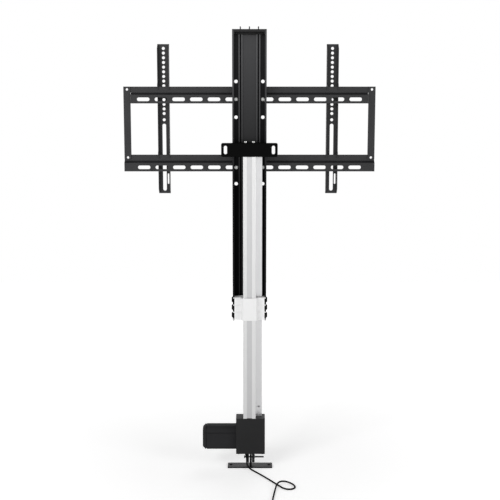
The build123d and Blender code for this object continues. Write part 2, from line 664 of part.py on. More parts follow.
with BuildPart() as carrier_screws:
    with BuildSketch(wall_plane(WEB_FRONT - CARRIER_PLATE_T)):
        with Locations((0, CARRIER_MID)):
            with GridLocations(2 * CARRIER_SCREW_X, CARRIER_SCREW_PITCH, 2, 2):
                Circle(CARRIER_SCREW_R)
    extrude(amount=-CARRIER_PLATE_T - CHANNEL_WEB)
    with BuildSketch(wall_plane(WEB_BACK)):
        with Locations((0, CARRIER_MID)):
            with GridLocations(2 * CARRIER_SCREW_X, CARRIER_SCREW_PITCH, 2, 2):
                Circle(CARRIER_HEAD_R)
    extrude(amount=-CARRIER_HEAD_H)
    fillet(carrier_screws.faces().group_by(Axis.Y)[-1].edges(), radius=CARRIER_HEAD_ROUND)
save(carrier_screws.part, "carrier_screws")

# Gearbox housing: a box open below with a sloping back, and a ring for the upper bearing
def back_slope(inset):
    """What lies behind the housing's slope, moved inwards by inset."""
    slope = math.atan2(BOX_SLOPE_DROP, BOX_BACK - BOX_SLOPE_Y)
    along = Vector(math.cos(slope), -math.sin(slope)) * (BOX_BACK - BOX_FRONT)
    out = Vector(math.sin(slope), math.cos(slope))
    start = Vector(BOX_SLOPE_Y, BOX_TOP) - out * inset
    away = out * (BOX_BACK - BOX_FRONT)
    with BuildPart() as behind:
        with BuildSketch(side_plane(BOX_LEFT)):
            with BuildLine():
                Polyline(start - along, start + along, start + along + away,
                         start - along + away, close=True)
            make_face()
        extrude(amount=BOX_RIGHT - BOX_LEFT)
    return behind.part


outside_slope = back_slope(0)
inside_slope = back_slope(BOX_WALL)
with BuildPart() as box_cavity:
    with BuildSketch(Plane.XY.offset(BOX_BOTTOM + BASE_THICK)) as inside:
        block(BOX_LEFT + BOX_WALL, BOX_RIGHT - BOX_WALL, BOX_FRONT + BOX_WALL, BOX_BACK - BOX_WALL)
        fillet(inside.vertices(), radius=BOX_CORNER - BOX_WALL)
    extrude(amount=BOX_TOP - BOX_BOTTOM - BASE_THICK - BOX_WALL)
    add(inside_slope, mode=Mode.SUBTRACT)

with BuildPart() as gearbox_housing:
    with BuildSketch(Plane.XY.offset(BOX_BOTTOM + BASE_THICK)) as section:
        block(BOX_LEFT, BOX_RIGHT, BOX_FRONT, BOX_BACK)
        fillet(section.vertices().group_by(Axis.Y)[-1], radius=BOX_CORNER)
        fillet(section.vertices().group_by(Axis.Y)[0], radius=BOX_FRONT_CORNER)
    extrude(amount=BOX_TOP - BOX_BOTTOM - BASE_THICK)
    top_rim = gearbox_housing.faces().sort_by(Axis.Z)[-1].edges()
    fillet(top_rim.filter_by(lambda e: e.center().Y > BOX_FRONT + 1), radius=BOX_TOP_R)
    add(outside_slope, mode=Mode.SUBTRACT)
    add(box_cavity.part, mode=Mode.SUBTRACT)
    with BuildSketch(Plane.XY.offset(BOX_TOP)):
        with Locations((0, SCREW_Y)):
            Circle(BEARING_R + BOX_WALL)
    extrude(amount=BEARING_HIGH_Z - BOX_TOP)
    with BuildSketch(Plane.XY.offset(BEARING_HIGH_Z)):
        with Locations((0, SCREW_Y)):
            Circle(BEARING_R)
    extrude(amount=BEARING_W, mode=Mode.SUBTRACT)
    with BuildSketch(Plane.XY.offset(BEARING_HIGH_Z)):
        with Locations((0, SCREW_Y)):
            Circle(SCREW_R + SCREW_GAP)
        with Locations((-CAP_SCREW_X, CAP_SCREW_Y), (CAP_SCREW_X, CAP_SCREW_Y)):
            Circle(CAP_SCREW_R)
    extrude(amount=BOX_TOP - BEARING_HIGH_Z, mode=Mode.SUBTRACT)
    with BuildSketch(side_plane(BOX_LEFT)):
        with Locations((MOTOR_Y, DRIVE_Z)):
            Circle(MOTOR_SPIGOT_R)
    extrude(amount=BOX_WALL, mode=Mode.SUBTRACT)
    with BuildSketch(side_plane(BOX_RIGHT - BOX_WALL)):
        with Locations((MOTOR_Y, DRIVE_Z)):
            Circle(WORM_BEARING_R + WORM_BEARING_WALL)
    extrude(amount=-WORM_BEARING_W)
    with BuildSketch(side_plane(BOX_RIGHT - BOX_WALL)):
        with Locations((MOTOR_Y, DRIVE_Z)):
            Circle(WORM_BEARING_R)
    extrude(amount=-WORM_BEARING_W, mode=Mode.SUBTRACT)
save(gearbox_housing.part, "gearbox_housing")
save(cap_screws(BOX_TOP - BOX_WALL, -1), "column_foot_screws")

# Gearbox base: a plate with the lower bearing's seat, the two ears of the foot joint and the cord hole
with BuildPart() as gearbox_base:
    with BuildSketch(Plane.XY.offset(BOX_BOTTOM)) as outline:
        block(BOX_LEFT, BOX_RIGHT, BOX_FRONT, BOX_BACK)
        fillet(outline.vertices().group_by(Axis.Y)[-1], radius=BOX_CORNER)
        fillet(outline.vertices().group_by(Axis.Y)[0], radius=BOX_FRONT_CORNER)
        with Locations(CORD_EXIT):
            Circle(GLAND_NECK_R, mode=Mode.SUBTRACT)
        with Locations((BOX_MID_X, BOX_MID_Y)):
            with GridLocations(BASE_SCREW_X, BASE_SCREW_Y, 2, 2):
                Circle(BASE_SCREW_R, mode=Mode.SUBTRACT)
    extrude(amount=BASE_THICK)
    with BuildSketch(Plane.XY.offset(BOX_BOTTOM + BASE_THICK)):
        with Locations((0, SCREW_Y)):
            Circle(BEARING_R + BOX_WALL)
    extrude(amount=BEARING_LOW_Z + BEARING_W - BOX_BOTTOM - BASE_THICK)
    with BuildSketch(Plane.XY.offset(BEARING_LOW_Z)):
        with Locations((0, SCREW_Y)):
            Circle(BEARING_R)
    extrude(amount=BEARING_W, mode=Mode.SUBTRACT)
    for x in (EAR_LEFT, EAR_RIGHT):
        with BuildSketch(side_plane(x)) as ear:
            block(FOOT_Y - EAR_HALF, FOOT_Y + EAR_HALF, EAR_BOTTOM, BOX_BOTTOM)
            fillet(ear.vertices().group_by(Axis.Y)[0], radius=EAR_CORNER)
            with Locations((FOOT_Y, PIN_Z)):
                Circle(PIN_R + RUNNING_GAP, mode=Mode.SUBTRACT)
        extrude(amount=EAR_T)
save(gearbox_base.part, "gearbox_base")

with BuildPart() as base_screws:
    with BuildSketch(Plane.XY.offset(BOX_BOTTOM)):
        with Locations((BOX_MID_X, BOX_MID_Y)):
            with GridLocations(BASE_SCREW_X, BASE_SCREW_Y, 2, 2):
                Circle(BASE_SCREW_R)
    extrude(amount=BASE_THICK)
    with BuildSketch(Plane.XY.offset(BOX_BOTTOM)):
        with Locations((BOX_MID_X, BOX_MID_Y)):
            with GridLocations(BASE_SCREW_X, BASE_SCREW_Y, 2, 2):
                Circle(BASE_HEAD_R)
    extrude(amount=-BASE_HEAD_H)
    fillet(base_screws.faces().group_by(Axis.Z)[0].edges(), radius=BASE_HEAD_ROUND)
save(base_screws.part, "base_screws")

with BuildPart() as screw_bearings:
    for z in (BEARING_LOW_Z, BEARING_HIGH_Z):
        with BuildSketch(Plane.XY.offset(z)):
            with Locations((0, SCREW_Y)):
                Circle(BEARING_R)
                Circle(JOURNAL_R + RUNNING_GAP, mode=Mode.SUBTRACT)
        extrude(amount=BEARING_W)
save(screw_bearings.part, "screw_bearings")

with BuildPart() as worm_bearings:
    for x in (BOX_RIGHT - BOX_WALL - WORM_BEARING_W, BOX_LEFT - MOTOR_PLATE):
        with BuildSketch(side_plane(x)):
            with Locations((MOTOR_Y, DRIVE_Z)):
                Circle(WORM_BEARING_R)
                Circle(SHAFT_R + RUNNING_GAP, mode=Mode.SUBTRACT)
        extrude(amount=WORM_BEARING_W)
save(worm_bearings.part, "worm_bearings")

# Worm wheel on the lead screw, and the motor's shaft with its worm
with BuildPart() as worm_wheel:
    with BuildSketch(Plane.XY.offset(DRIVE_Z - WHEEL_WIDTH / 2)) as section:
        with Locations((0, SCREW_Y)):
            Circle(WHEEL_R)
            with PolarLocations(WHEEL_R, WHEEL_TEETH):
                Rectangle(2 * WHEEL_TOOTH, WHEEL_TOOTH)
            Circle(JOURNAL_R, mode=Mode.SUBTRACT)
    extrude(amount=WHEEL_WIDTH)
save(worm_wheel.part, "worm_wheel")

with BuildPart() as worm_shaft:
    shaft_line = Plane(origin=(0, MOTOR_Y, DRIVE_Z), x_dir=(1, 0, 0), z_dir=(0, 0, 1))
    with BuildSketch(shaft_line):
        block(CAN_LEFT, SHAFT_RIGHT, 0, SHAFT_R)
        block(-WORM_HALF, WORM_HALF, 0, WORM_R)
    revolve(axis=Axis((0, MOTOR_Y, DRIVE_Z), (1, 0, 0)))
save(worm_shaft.part, "worm_shaft")

with BuildPart() as armature:
    with BuildSketch(side_plane(CAN_LEFT + ARMATURE_INSET)):
        with Locations((MOTOR_Y, DRIVE_Z)):
            Circle(ARMATURE_R)
            with PolarLocations(ARMATURE_R, ARMATURE_SLOTS):
                Rectangle(ARMATURE_SLOT_D, ARMATURE_SLOT_W, mode=Mode.SUBTRACT)
            Circle(SHAFT_R, mode=Mode.SUBTRACT)
    extrude(amount=ARMATURE_LENGTH)
save(armature.part, "armature")

# Motor: can, end plate and the cover around them
with BuildPart() as motor_can:
    with BuildSketch(side_plane(CAN_LEFT)):
        with Locations((MOTOR_Y, DRIVE_Z)):
            Circle(CAN_R)
    extrude(amount=BOX_LEFT - MOTOR_PLATE - CAN_LEFT)
    with BuildSketch(side_plane(CAN_LEFT + MOTOR_PLATE)):
        with Locations((MOTOR_Y, DRIVE_Z)):
            Circle(CAN_R - CAN_WALL)
    extrude(amount=MOTOR_LENGTH, mode=Mode.SUBTRACT)
    with BuildSketch(side_plane(CAN_LEFT)):
        with Locations((MOTOR_Y, DRIVE_Z)):
            Circle(SHAFT_R + RUNNING_GAP)
    extrude(amount=MOTOR_PLATE, mode=Mode.SUBTRACT)
save(motor_can.part, "motor_can")

with BuildPart() as motor_end_plate:
    with BuildSketch(side_plane(BOX_LEFT - MOTOR_PLATE)):
        with Locations((MOTOR_Y, DRIVE_Z)):
            Circle(CAN_R)
            Circle(WORM_BEARING_R, mode=Mode.SUBTRACT)
    extrude(amount=MOTOR_PLATE)
    with BuildSketch(side_plane(BOX_LEFT)):
        with Locations((MOTOR_Y, DRIVE_Z)):
            Circle(MOTOR_SPIGOT_R - SEAT_GAP)
            Circle(WORM_BEARING_R, mode=Mode.SUBTRACT)
    extrude(amount=BOX_WALL)
save(motor_end_plate.part, "motor_end_plate")


def cover_body(inset):
    """The motor cover as a solid: flat front, large rounds along the top, cut-back outer end."""
    with BuildPart() as body:
        with BuildSketch(side_plane(MOTOR_LEFT + inset)) as outline:
            block(MOTOR_Y - MOTOR_HALF_DEPTH + inset, MOTOR_Y + MOTOR_HALF_DEPTH - inset,
                  MOTOR_BOTTOM + inset, MOTOR_TOP - inset)
            fillet(outline.vertices().group_by(Axis.Y)[-1], radius=MOTOR_ROUND - inset)
            fillet(outline.vertices().group_by(Axis.Y)[0], radius=MOTOR_FOOT_ROUND)
        extrude(amount=BOX_LEFT - MOTOR_LEFT - inset)
        chamfer(body.faces().sort_by(Axis.X)[0].edges(), length=MOTOR_CHAMFER)
    return body.part


cover_outside = cover_body(0)
cover_inside = cover_body(MOTOR_WALL)
with BuildPart() as motor_cover:
    add(cover_outside)
    add(cover_inside, mode=Mode.SUBTRACT)
save(motor_cover.part, "motor_cover")

# TV rails: a joggled strip, its lower half slotted and bolted to the channel's back
def tv_rail(bottom, end_cut):
    """One rail; end_cut takes the slotted half away beside the end bars."""
    shift = RAIL_THICK * math.tan(math.atan2(RAIL_JOGGLE, RAIL_JOGGLE_H) / 2)
    fold_low = bottom + RAIL_WEB_H
    fold_high = fold_low + RAIL_JOGGLE_H
    top = bottom + RAIL_HEIGHT
    with BuildPart() as made:
        with BuildSketch(side_plane(-RAIL_HALF)):
            with BuildLine():
                Polyline((WEB_BACK, bottom), (WEB_BACK, fold_low), (LIP_FRONT, fold_high),
                         (LIP_FRONT, top), (LIP_BACK, top), (LIP_BACK, fold_high - shift),
                         (WEB_BACK + RAIL_THICK, fold_low - shift),
                         (WEB_BACK + RAIL_THICK, bottom), close=True)
            make_face()
        extrude(amount=2 * RAIL_HALF)
        with BuildSketch(wall_plane(WEB_BACK)):
            with Locations((0, bottom + RAIL_SLOT_UP)):
                with GridLocations(RAIL_SLOT_PITCH, 0, RAIL_SLOT_COUNT, 1):
                    SlotOverall(RAIL_SLOT_L, RAIL_SLOT_W)
        extrude(amount=-RAIL_THICK, mode=Mode.SUBTRACT)
        with BuildSketch(wall_plane(LIP_FRONT)):
            with Locations((0, bottom + RAIL_HEIGHT - END_HOLE_DOWN)):
                with GridLocations(2 * END_BAR_X, 0, 2, 1):
                    Circle(END_HOLE_R)
        extrude(amount=-RAIL_THICK, mode=Mode.SUBTRACT)
        if end_cut:
            with BuildSketch(wall_plane(WEB_BACK - 1)):
                for x in (-END_BAR_X, END_BAR_X):
                    block(x - END_BAR_W / 2 - 1, x + END_BAR_W / 2 + 1, bottom - 1,
                          fold_high)
            extrude(amount=-RAIL_JOGGLE - RAIL_THICK - 2, mode=Mode.SUBTRACT)
    return made.part


save(tv_rail(TOP_RAIL_BOTTOM, True), "tv_rail_top")
save(tv_rail(LOW_RAIL_BOTTOM, False), "tv_rail_bottom")


def end_bar(x):
    """An upright flat bar that ties the ends of the two rails together."""
    top = TOP_RAIL_BOTTOM + RAIL_HEIGHT
    bottom = LOW_RAIL_BOTTOM + RAIL_HEIGHT - END_BAR_OVERLAP
    with BuildPart() as made:
        with BuildSketch(wall_plane(LIP_FRONT)):
            block(x - END_BAR_W / 2, x + END_BAR_W / 2, bottom, top)
            with Locations((x, top - END_HOLE_DOWN),
                           (x, LOW_RAIL_BOTTOM + RAIL_HEIGHT - END_HOLE_DOWN)):
                Circle(END_HOLE_R, mode=Mode.SUBTRACT)
        extrude(amount=RAIL_THICK)
    return made.part


save(end_bar(-END_BAR_X), "end_bar_left")
save(end_bar(END_BAR_X), "end_bar_right")

with BuildPart() as rail_bolts:
    for z in (TOP_RAIL_ROW_Z, LOW_RAIL_ROW_Z):
        with BuildSketch(wall_plane(WEB_FRONT)):
            with Locations((-WEB_HOLE_X, z), (WEB_HOLE_X, z)):
                Circle(RAIL_BOLT_R)
        extrude(amount=-CHANNEL_WEB - RAIL_THICK)
        with BuildSketch(wall_plane(WEB_BACK + RAIL_THICK)):
            with Locations((-WEB_HOLE_X, z), (WEB_HOLE_X, z)):
                Circle(RAIL_FLANGE_R)
        extrude(amount=-RAIL_FLANGE_T)
        with BuildSketch(wall_plane(WEB_BACK + RAIL_THICK + RAIL_FLANGE_T)):
            with Locations((-WEB_HOLE_X, z), (WEB_HOLE_X, z)):
                RegularPolygon(RAIL_HEX_R, 6, rotation=30)
        extrude(amount=-RAIL_HEX_H)
save(rail_bolts.part, "rail_bolts")

with BuildPart() as rivet_nuts:
    with BuildSketch(wall_plane(WEB_FRONT)):
        for z in (TOP_RAIL_ROW_Z, LOW_RAIL_ROW_Z):
            with Locations((-WEB_HOLE_X, z), (WEB_HOLE_X, z)):
                Circle(WEB_HOLE_R)
                Circle(RAIL_BOLT_R, mode=Mode.SUBTRACT)
    extrude(amount=-CHANNEL_WEB)
save(rivet_nuts.part, "rivet_nuts")


# TV arms: a U-shaped channel whose two flanges hook over both rails
def hook(x, rail_top):
    """One hook on one flange: over the rail's top edge and down its wall side."""
    finger_back = LIP_FRONT - SLIDE_GAP
    finger_front = finger_back - HOOK_FINGER
    root = ARM_FRONT + HOOK_ROOT
    with BuildSketch(side_plane(x)) as outline:
        with BuildLine():
            Polyline((root, rail_top + SLIDE_GAP), (finger_back, rail_top + SLIDE_GAP),
                     (finger_back, rail_top - HOOK_REACH), (finger_front, rail_top - HOOK_REACH),
                     (finger_front, rail_top + HOOK_ABOVE - HOOK_SLANT),
                     (LIP_FRONT, rail_top + HOOK_ABOVE),
                     (root, rail_top + HOOK_ABOVE + HOOK_SLANT), close=True)
        make_face()
    return outline.sketch


def tv_arm(middle):
    """One arm with its row of holes, the long slot and the narrow slit beside it."""
    half = ARM_WIDTH / 2
    first_hole = ARM_TOP - ARM_FIRST_HOLE_DOWN
    slot_top = ARM_TOP - ARM_SLOT_DOWN
    slot_bottom = ARM_BOTTOM + ARM_SLOT_UP
    with BuildPart() as made:
        with BuildSketch(Plane.XY.offset(ARM_BOTTOM)) as section:
            block(middle - half, middle + half, ARM_FRONT, ARM_BACK)
            fillet(section.vertices().group_by(Axis.Y)[-1], radius=ARM_BEND)
            block(middle - half + ARM_THICK, middle + half - ARM_THICK, ARM_FRONT,
                  ARM_BACK - ARM_THICK, Mode.SUBTRACT)
        extrude(amount=ARM_TOP - ARM_BOTTOM)
        with BuildSketch(side_plane(middle - half)):
            for z, turn in ((ARM_TOP, -1), (ARM_BOTTOM, 1)):
                with BuildLine():
                    Polyline((ARM_FRONT, z), (ARM_FRONT, z + turn * ARM_END_SLOPE),
                             (ARM_BACK - ARM_THICK - ARM_BEND, z), close=True)
                make_face()
        extrude(amount=ARM_WIDTH, mode=Mode.SUBTRACT)
        for rail_bottom in (TOP_RAIL_BOTTOM, LOW_RAIL_BOTTOM):
            for x in (middle - half, middle + half - ARM_THICK):
                add(hook(x, rail_bottom + RAIL_HEIGHT))
                extrude(amount=ARM_THICK, dir=(1, 0, 0))
        with BuildSketch(wall_plane(ARM_BACK)):
            for i in range(ARM_HOLE_COUNT):
                with Locations((middle, first_hole - i * ARM_HOLE_PITCH)):
                    Circle(ARM_HOLE_R)
            with Locations((middle, first_hole - ARM_HOLE_STEP)):
                Circle(ARM_HOLE_R)
            with Locations((middle, (slot_top + slot_bottom) / 2)):
                SlotOverall(slot_top - slot_bottom, ARM_SLOT_W, rotation=90)
            with Locations((middle + ARM_SLIT_X, ARM_BOTTOM + ARM_SLIT_UP)):
                SlotOverall(ARM_SLIT_L, ARM_SLIT_W, rotation=90)
        extrude(amount=ARM_THICK, mode=Mode.SUBTRACT)
    return made.part


save(tv_arm(ARM_LEFT_X), "tv_arm_left")
save(tv_arm(ARM_RIGHT_X), "tv_arm_right")

# Foot: a floor plate with an upright tongue between the ears, the pin and the pin's clip
with BuildPart() as foot_plate:
    with BuildSketch() as outline:
        with Locations((FOOT_X, FOOT_Y)):
            RectangleRounded(FOOT_WIDTH, FOOT_DEPTH, FOOT_CORNER)
            with GridLocations(FOOT_WIDTH - 2 * FOOT_HOLE_IN, 0, 2, 1):
                Circle(FOOT_HOLE_R, mode=Mode.SUBTRACT)
    extrude(amount=FOOT_THICK)
    hole_rims = foot_plate.edges().filter_by(GeomType.CIRCLE).filter_by(
        lambda e: e.center().Z > FOOT_THICK / 2 and e.radius < FOOT_CORNER)
    chamfer(hole_rims, length=FOOT_HOLE_SINK)
    with BuildSketch(side_plane(TONGUE_LEFT)):
        block(FOOT_Y - TONGUE_R, FOOT_Y + TONGUE_R, FOOT_THICK, PIN_Z)
        with Locations((FOOT_Y, PIN_Z)):
            Circle(TONGUE_R)
            Circle(PIN_R, mode=Mode.SUBTRACT)
    extrude(amount=TONGUE_T)
save(foot_plate.part, "foot_plate")

with BuildPart() as clevis_pin:
    with BuildSketch(side_plane(PIN_LEFT)):
        with Locations((FOOT_Y, PIN_Z)):
            Circle(PIN_R)
    extrude(amount=PIN_RIGHT - PIN_LEFT)
    with BuildSketch(side_plane(PIN_LEFT)):
        with Locations((FOOT_Y, PIN_Z)):
            Circle(PIN_HEAD_R)
    extrude(amount=PIN_HEAD_T)
    chamfer(clevis_pin.faces().sort_by(Axis.X)[-1].edges(), length=PIN_TIP)
save(clevis_pin.part, "clevis_pin")

with BuildPart() as pin_clip:
    with BuildSketch(side_plane(EAR_RIGHT + EAR_T + SLIDE_GAP)):
        with Locations((FOOT_Y, PIN_Z)):
            Circle(PIN_HEAD_R)
            Circle(PIN_R, mode=Mode.SUBTRACT)
            with Locations((0, -PIN_HEAD_R)):
                Rectangle(CLIP_MOUTH_W, CLIP_MOUTH_L, mode=Mode.SUBTRACT)
    extrude(amount=CLIP_T)
save(pin_clip.part, "pin_clip")

# Cord gland in the gearbox base
with BuildPart() as cable_gland:
    with BuildSketch(Plane.XY.offset(BOX_BOTTOM)):
        with Locations(CORD_EXIT):
            Circle(GLAND_NECK_R)
    extrude(amount=BASE_THICK)
    with BuildSketch(Plane.XY.offset(BOX_BOTTOM)):
        with Locations(CORD_EXIT):
            Circle(GLAND_R)
    with BuildSketch(Plane.XY.offset(BOX_BOTTOM - GLAND_LENGTH)):
        with Locations(CORD_EXIT):
            Circle(GLAND_END_R)
    loft()
save(cable_gland.part, "cable_gland")

# Cord: down from the gland, over the floor, one loose loop across itself, to the coil
CROSSING_Z = CORD_FLOOR + 2 * CORD_R + CROSSING_GAP
CORD_POINTS = [
    (CORD_EXIT[0], CORD_EXIT[1], BOX_BOTTOM - GLAND_LENGTH),
    (CORD_EXIT[0], CORD_EXIT[1], 21.5),
    (-5.5, -31.5, 10.5),
    (1.0, -37.5, 4.6),
    (12.5, -50.0, CORD_FLOOR),
    (22.0, -63.5, CORD_FLOOR),
    (34.0, -82.0, CORD_FLOOR),
    (57.5, -119.5, CORD_FLOOR),
    (75.5, -151.0, CORD_FLOOR),
    (84.5, -165.0, CORD_FLOOR),
    (93.0, -179.5, CORD_FLOOR),
    (105.0, -188.5, CORD_FLOOR),
    (119.5, -187.0, CORD_FLOOR),
    (128.0, -175.0, CORD_FLOOR),
    (125.5, -160.5, CORD_FLOOR + 0.5),
    (116.0, -149.0, CORD_FLOOR + 2.5),
    (102.5, -139.5, CROSSING_Z - 1.5),
    (88.0, -142.5, CROSSING_Z),
    (79.5, -155.5, CROSSING_Z),
    (75.0, -173.5, CROSSING_Z),
    (70.5, -199.0, CORD_FLOOR + 2.0),
    (66.5, -228.0, CORD_FLOOR),
    (63.0, -257.5, CORD_FLOOR),
    (COIL_START_X, -287.5, CORD_FLOOR),
    (COIL_START_X, COIL_CENTRE_Y + 2 * CORD_R, CORD_FLOOR),
]


def corner_radii(points):
    """One radius for each corner, as large as its two runs allow."""
    radii = []
    for before, corner, after in zip(points, points[1:], points[2:]):
        arriving = Vector(corner) - Vector(before)
        leaving = Vector(after) - Vector(corner)
        turn = math.radians(arriving.get_angle(leaving))
        shorter = min(arriving.length, leaving.length)
        radii.append(ARC_SHARE * shorter / math.tan(turn / 2))
    return radii


cord_radii = corner_radii(CORD_POINTS)
with BuildPart() as motor_cord:
    with BuildLine() as route:
        FilletPolyline(*CORD_POINTS, radius=cord_radii)
    with BuildSketch(Plane.XY.offset(BOX_BOTTOM - GLAND_LENGTH)):
        with Locations(CORD_EXIT):
            RegularPolygon(CORD_R, CORD_SIDES)
    sweep()
save(motor_cord.part, "motor_cord")
print("cord radii", [round(radius, 1) for radius in cord_radii])
print("cord length", round(route.wires()[0].length, 1))


def coil_nodes():
    """Where each half turn ends: two layers, spiralling in and then out again."""
    pitch = 2 * CORD_R + COIL_GAP
    outer = COIL_MIDDLE_R + COIL_LAYER_TURNS * pitch / 2
    centre_x = COIL_START_X - outer
    half_turns = 2 * COIL_LAYER_TURNS
    radii = [outer - k * pitch / 2 for k in range(half_turns + 1)]
    radii += radii[:0:-1]
    nodes = []
    for k, radius in enumerate(radii):
        side = 1 if k % 2 == 0 else -1
        height = CORD_FLOOR if k <= half_turns else CORD_FLOOR + pitch
        place = Vector(centre_x + side * radius, COIL_CENTRE_Y, height)
        nodes.append((place, Vector(0, -side, 0)))
    return nodes


def half_turn(start, start_way, end, end_way):
    """Two tangent arcs that join two ends of a half turn."""
    step = end - start
    reach = step.length / 2
    middle = (start + start_way * reach + end - end_way * reach) * 0.5
    middle_way = (end - end_way * reach) - (start + start_way * reach)
    TangentArc(start, middle, tangent=start_way)
    TangentArc(middle, end, tangent=middle_way)


turns = coil_nodes()
last_place, last_way = turns[-1]
with BuildPart() as cord_coil:
    with BuildLine() as winding:
        Line(CORD_POINTS[-1], turns[0][0])
        for (start, start_way), (end, end_way) in zip(turns, turns[1:]):
            half_turn(start, start_way, end, end_way)
        Line(last_place, last_place + last_way * COIL_TAIL)
    with BuildSketch(Plane(origin=CORD_POINTS[-1], x_dir=(0, 0, 1), z_dir=(0, -1, 0))):
        RegularPolygon(CORD_R, CORD_SIDES)
    sweep()
save(cord_coil.part, "cord_coil")


def least_gap(wire, diameter):
    """Smallest distance between two stretches of a tube that aren't neighbours."""
    count = 600
    places = [wire.position_at(i / count) for i in range(count + 1)]
    apart = int(3 * diameter / wire.length * count) + 1
    least = min((a - b).length for i, a in enumerate(places) for b in places[i + apart:])
    return least - diameter


print("coil length", round(winding.wires()[0].length, 1))
print("coil least gap", round(least_gap(winding.wires()[0], 2 * CORD_R), 2))

# Connector at the end of the cord, with a tapered strain relief and a metal shell
plug_start = last_place + last_way * COIL_TAIL
plug_plane = Plane(origin=plug_start, x_dir=(1, 0, 0), z_dir=last_way)
body_plane = plug_plane.offset(RELIEF_LENGTH)
shell_plane = body_plane.offset(PLUG_LENGTH)
with BuildPart() as plug_strain_relief:
    with BuildSketch(plug_plane):
        Circle(RELIEF_R)
    with BuildSketch(body_plane):
        Circle(RELIEF_END_R)
    loft()
save(plug_strain_relief.part, "plug_strain_relief")

with BuildPart() as connector_body:
    with BuildSketch(body_plane):
        Circle(PLUG_R)
    extrude(amount=PLUG_LENGTH)
    fillet(connector_body.edges().filter_by(GeomType.CIRCLE).sort_by(Axis.Y)[-1], radius=PLUG_EDGE_R)
save(connector_body.part, "connector_body")

with BuildPart() as connector_shell:
    with BuildSketch(shell_plane):
        Circle(PLUG_SHELL_R)
        Circle(PLUG_SHELL_R - PLUG_SHELL_WALL, mode=Mode.SUBTRACT)
    extrude(amount=PLUG_SHELL_OUT)
save(connector_shell.part, "connector_shell")
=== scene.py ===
"""Motorised screen lift: column, sliding channel, slotted rails, arms, gearbox, motor and cord."""

import json
import math

import bmesh
import bpy
from mathutils import Matrix, Vector


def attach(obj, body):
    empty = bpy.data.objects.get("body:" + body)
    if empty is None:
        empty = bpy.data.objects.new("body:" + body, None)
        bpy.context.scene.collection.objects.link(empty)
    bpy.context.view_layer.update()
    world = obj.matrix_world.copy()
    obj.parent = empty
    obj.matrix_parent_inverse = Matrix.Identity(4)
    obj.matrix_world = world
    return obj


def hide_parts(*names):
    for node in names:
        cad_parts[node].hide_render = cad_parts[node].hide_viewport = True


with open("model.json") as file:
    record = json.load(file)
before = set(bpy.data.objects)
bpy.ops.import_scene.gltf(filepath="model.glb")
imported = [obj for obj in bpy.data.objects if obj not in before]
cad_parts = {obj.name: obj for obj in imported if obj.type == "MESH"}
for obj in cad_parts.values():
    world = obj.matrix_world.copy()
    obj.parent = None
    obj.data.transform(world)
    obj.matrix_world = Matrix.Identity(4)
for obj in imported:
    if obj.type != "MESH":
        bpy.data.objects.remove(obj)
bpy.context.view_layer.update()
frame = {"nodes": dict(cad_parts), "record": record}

# Camera: a long lens 2.8 m in front of the wall side and 1.06 m up, tipped down a little
camera_data = bpy.data.cameras.new("camera")
camera_data.sensor_width = 36.0
camera_data.lens = 71.24
camera_data.clip_end = 40.0
camera = bpy.data.objects.new("camera", camera_data)
camera.location = (0.0016, -2.8, 1.0628)
camera.rotation_euler = (math.radians(81.5), 0.0, 0.0)
bpy.context.scene.collection.objects.link(camera)
bpy.context.scene.camera = camera
bpy.context.scene.view_settings.view_transform = "Standard"


# Motor cord: a 4.8 mm round low-voltage cable in soft black PVC, drawn over its cores.
# It hangs out of the gland, lies loosely over the floor with one loop, and its spare
# length is wound in two layers beside the connector
def linear(code):
    """A hex sRGB colour as linear red, green, blue and alpha."""
    shades = [int(code[i:i + 2], 16) / 255 for i in (1, 3, 5)]
    return [s / 12.92 if s <= 0.04045 else ((s + 0.055) / 1.055) ** 2.4 for s in shades] + [1.0]


def fit(tree, node, inputs):
    """Sets a node's inputs, by name or place; a value that is itself a socket is linked."""
    for name, value in inputs.items():
        if isinstance(value, bpy.types.NodeSocket):
            tree.links.new(value, node.inputs[name])
        else:
            node.inputs[name].default_value = value


def add(tree, kind, inputs, **settings):
    """Adds one node with its settings and links, and returns its outputs."""
    made = tree.nodes.new(kind)
    for name, value in settings.items():
        setattr(made, name, value)
    fit(tree, made, inputs)
    return made.outputs


def surfaced(name, shades, patch, grit, relief, roughness, metallic=0.0, specular=0.5,
             detail=(3.0, 3.0), eroded=False):
    """A material in two shades that drift in patches, over the fine relief of its making.

    Patch and grit are widths in millimetres, and detail is how rough the edges of each are.
    Relief is its strength and its height in millimetres. Eroded is the cell grain of a mould.
    A pair for the roughness lets the gloss drift with the patches.
    """
    material = bpy.data.materials.new(name)
    material.use_nodes = True
    tree = material.node_tree
    place = add(tree, "ShaderNodeTexCoord", {})["Object"]
    drift = add(tree, "ShaderNodeTexNoise",
                {"Vector": place, "Scale": 1000 / patch, "Detail": detail[0]})["Fac"]
    colour = add(tree, "ShaderNodeMix", {0: drift, 6: linear(shades[0]), 7: linear(shades[1])},
                 data_type="RGBA")[2]
    if eroded:
        height = add(tree, "ShaderNodeTexVoronoi",
                     {"Vector": place, "Scale": 1000 / grit})["Distance"]
    else:
        height = add(tree, "ShaderNodeTexNoise",
                     {"Vector": place, "Scale": 1000 / grit, "Detail": detail[1]})["Fac"]
    raised = add(tree, "ShaderNodeBump", {"Height": height, "Strength": relief[0],
                                          "Distance": relief[1] / 1000})["Normal"]
    if isinstance(roughness, tuple):
        roughness = add(tree, "ShaderNodeMapRange",
                        {"Value": drift, "From Min": 0.3, "From Max": 0.7,
                         "To Min": roughness[0], "To Max": roughness[1]})["Result"]
    fit(tree, tree.nodes["Principled BSDF"],
        {"Base Color": colour, "Normal": raised, "Roughness": roughness, "Metallic": metallic,
         "Specular IOR Level": specular})
    return material


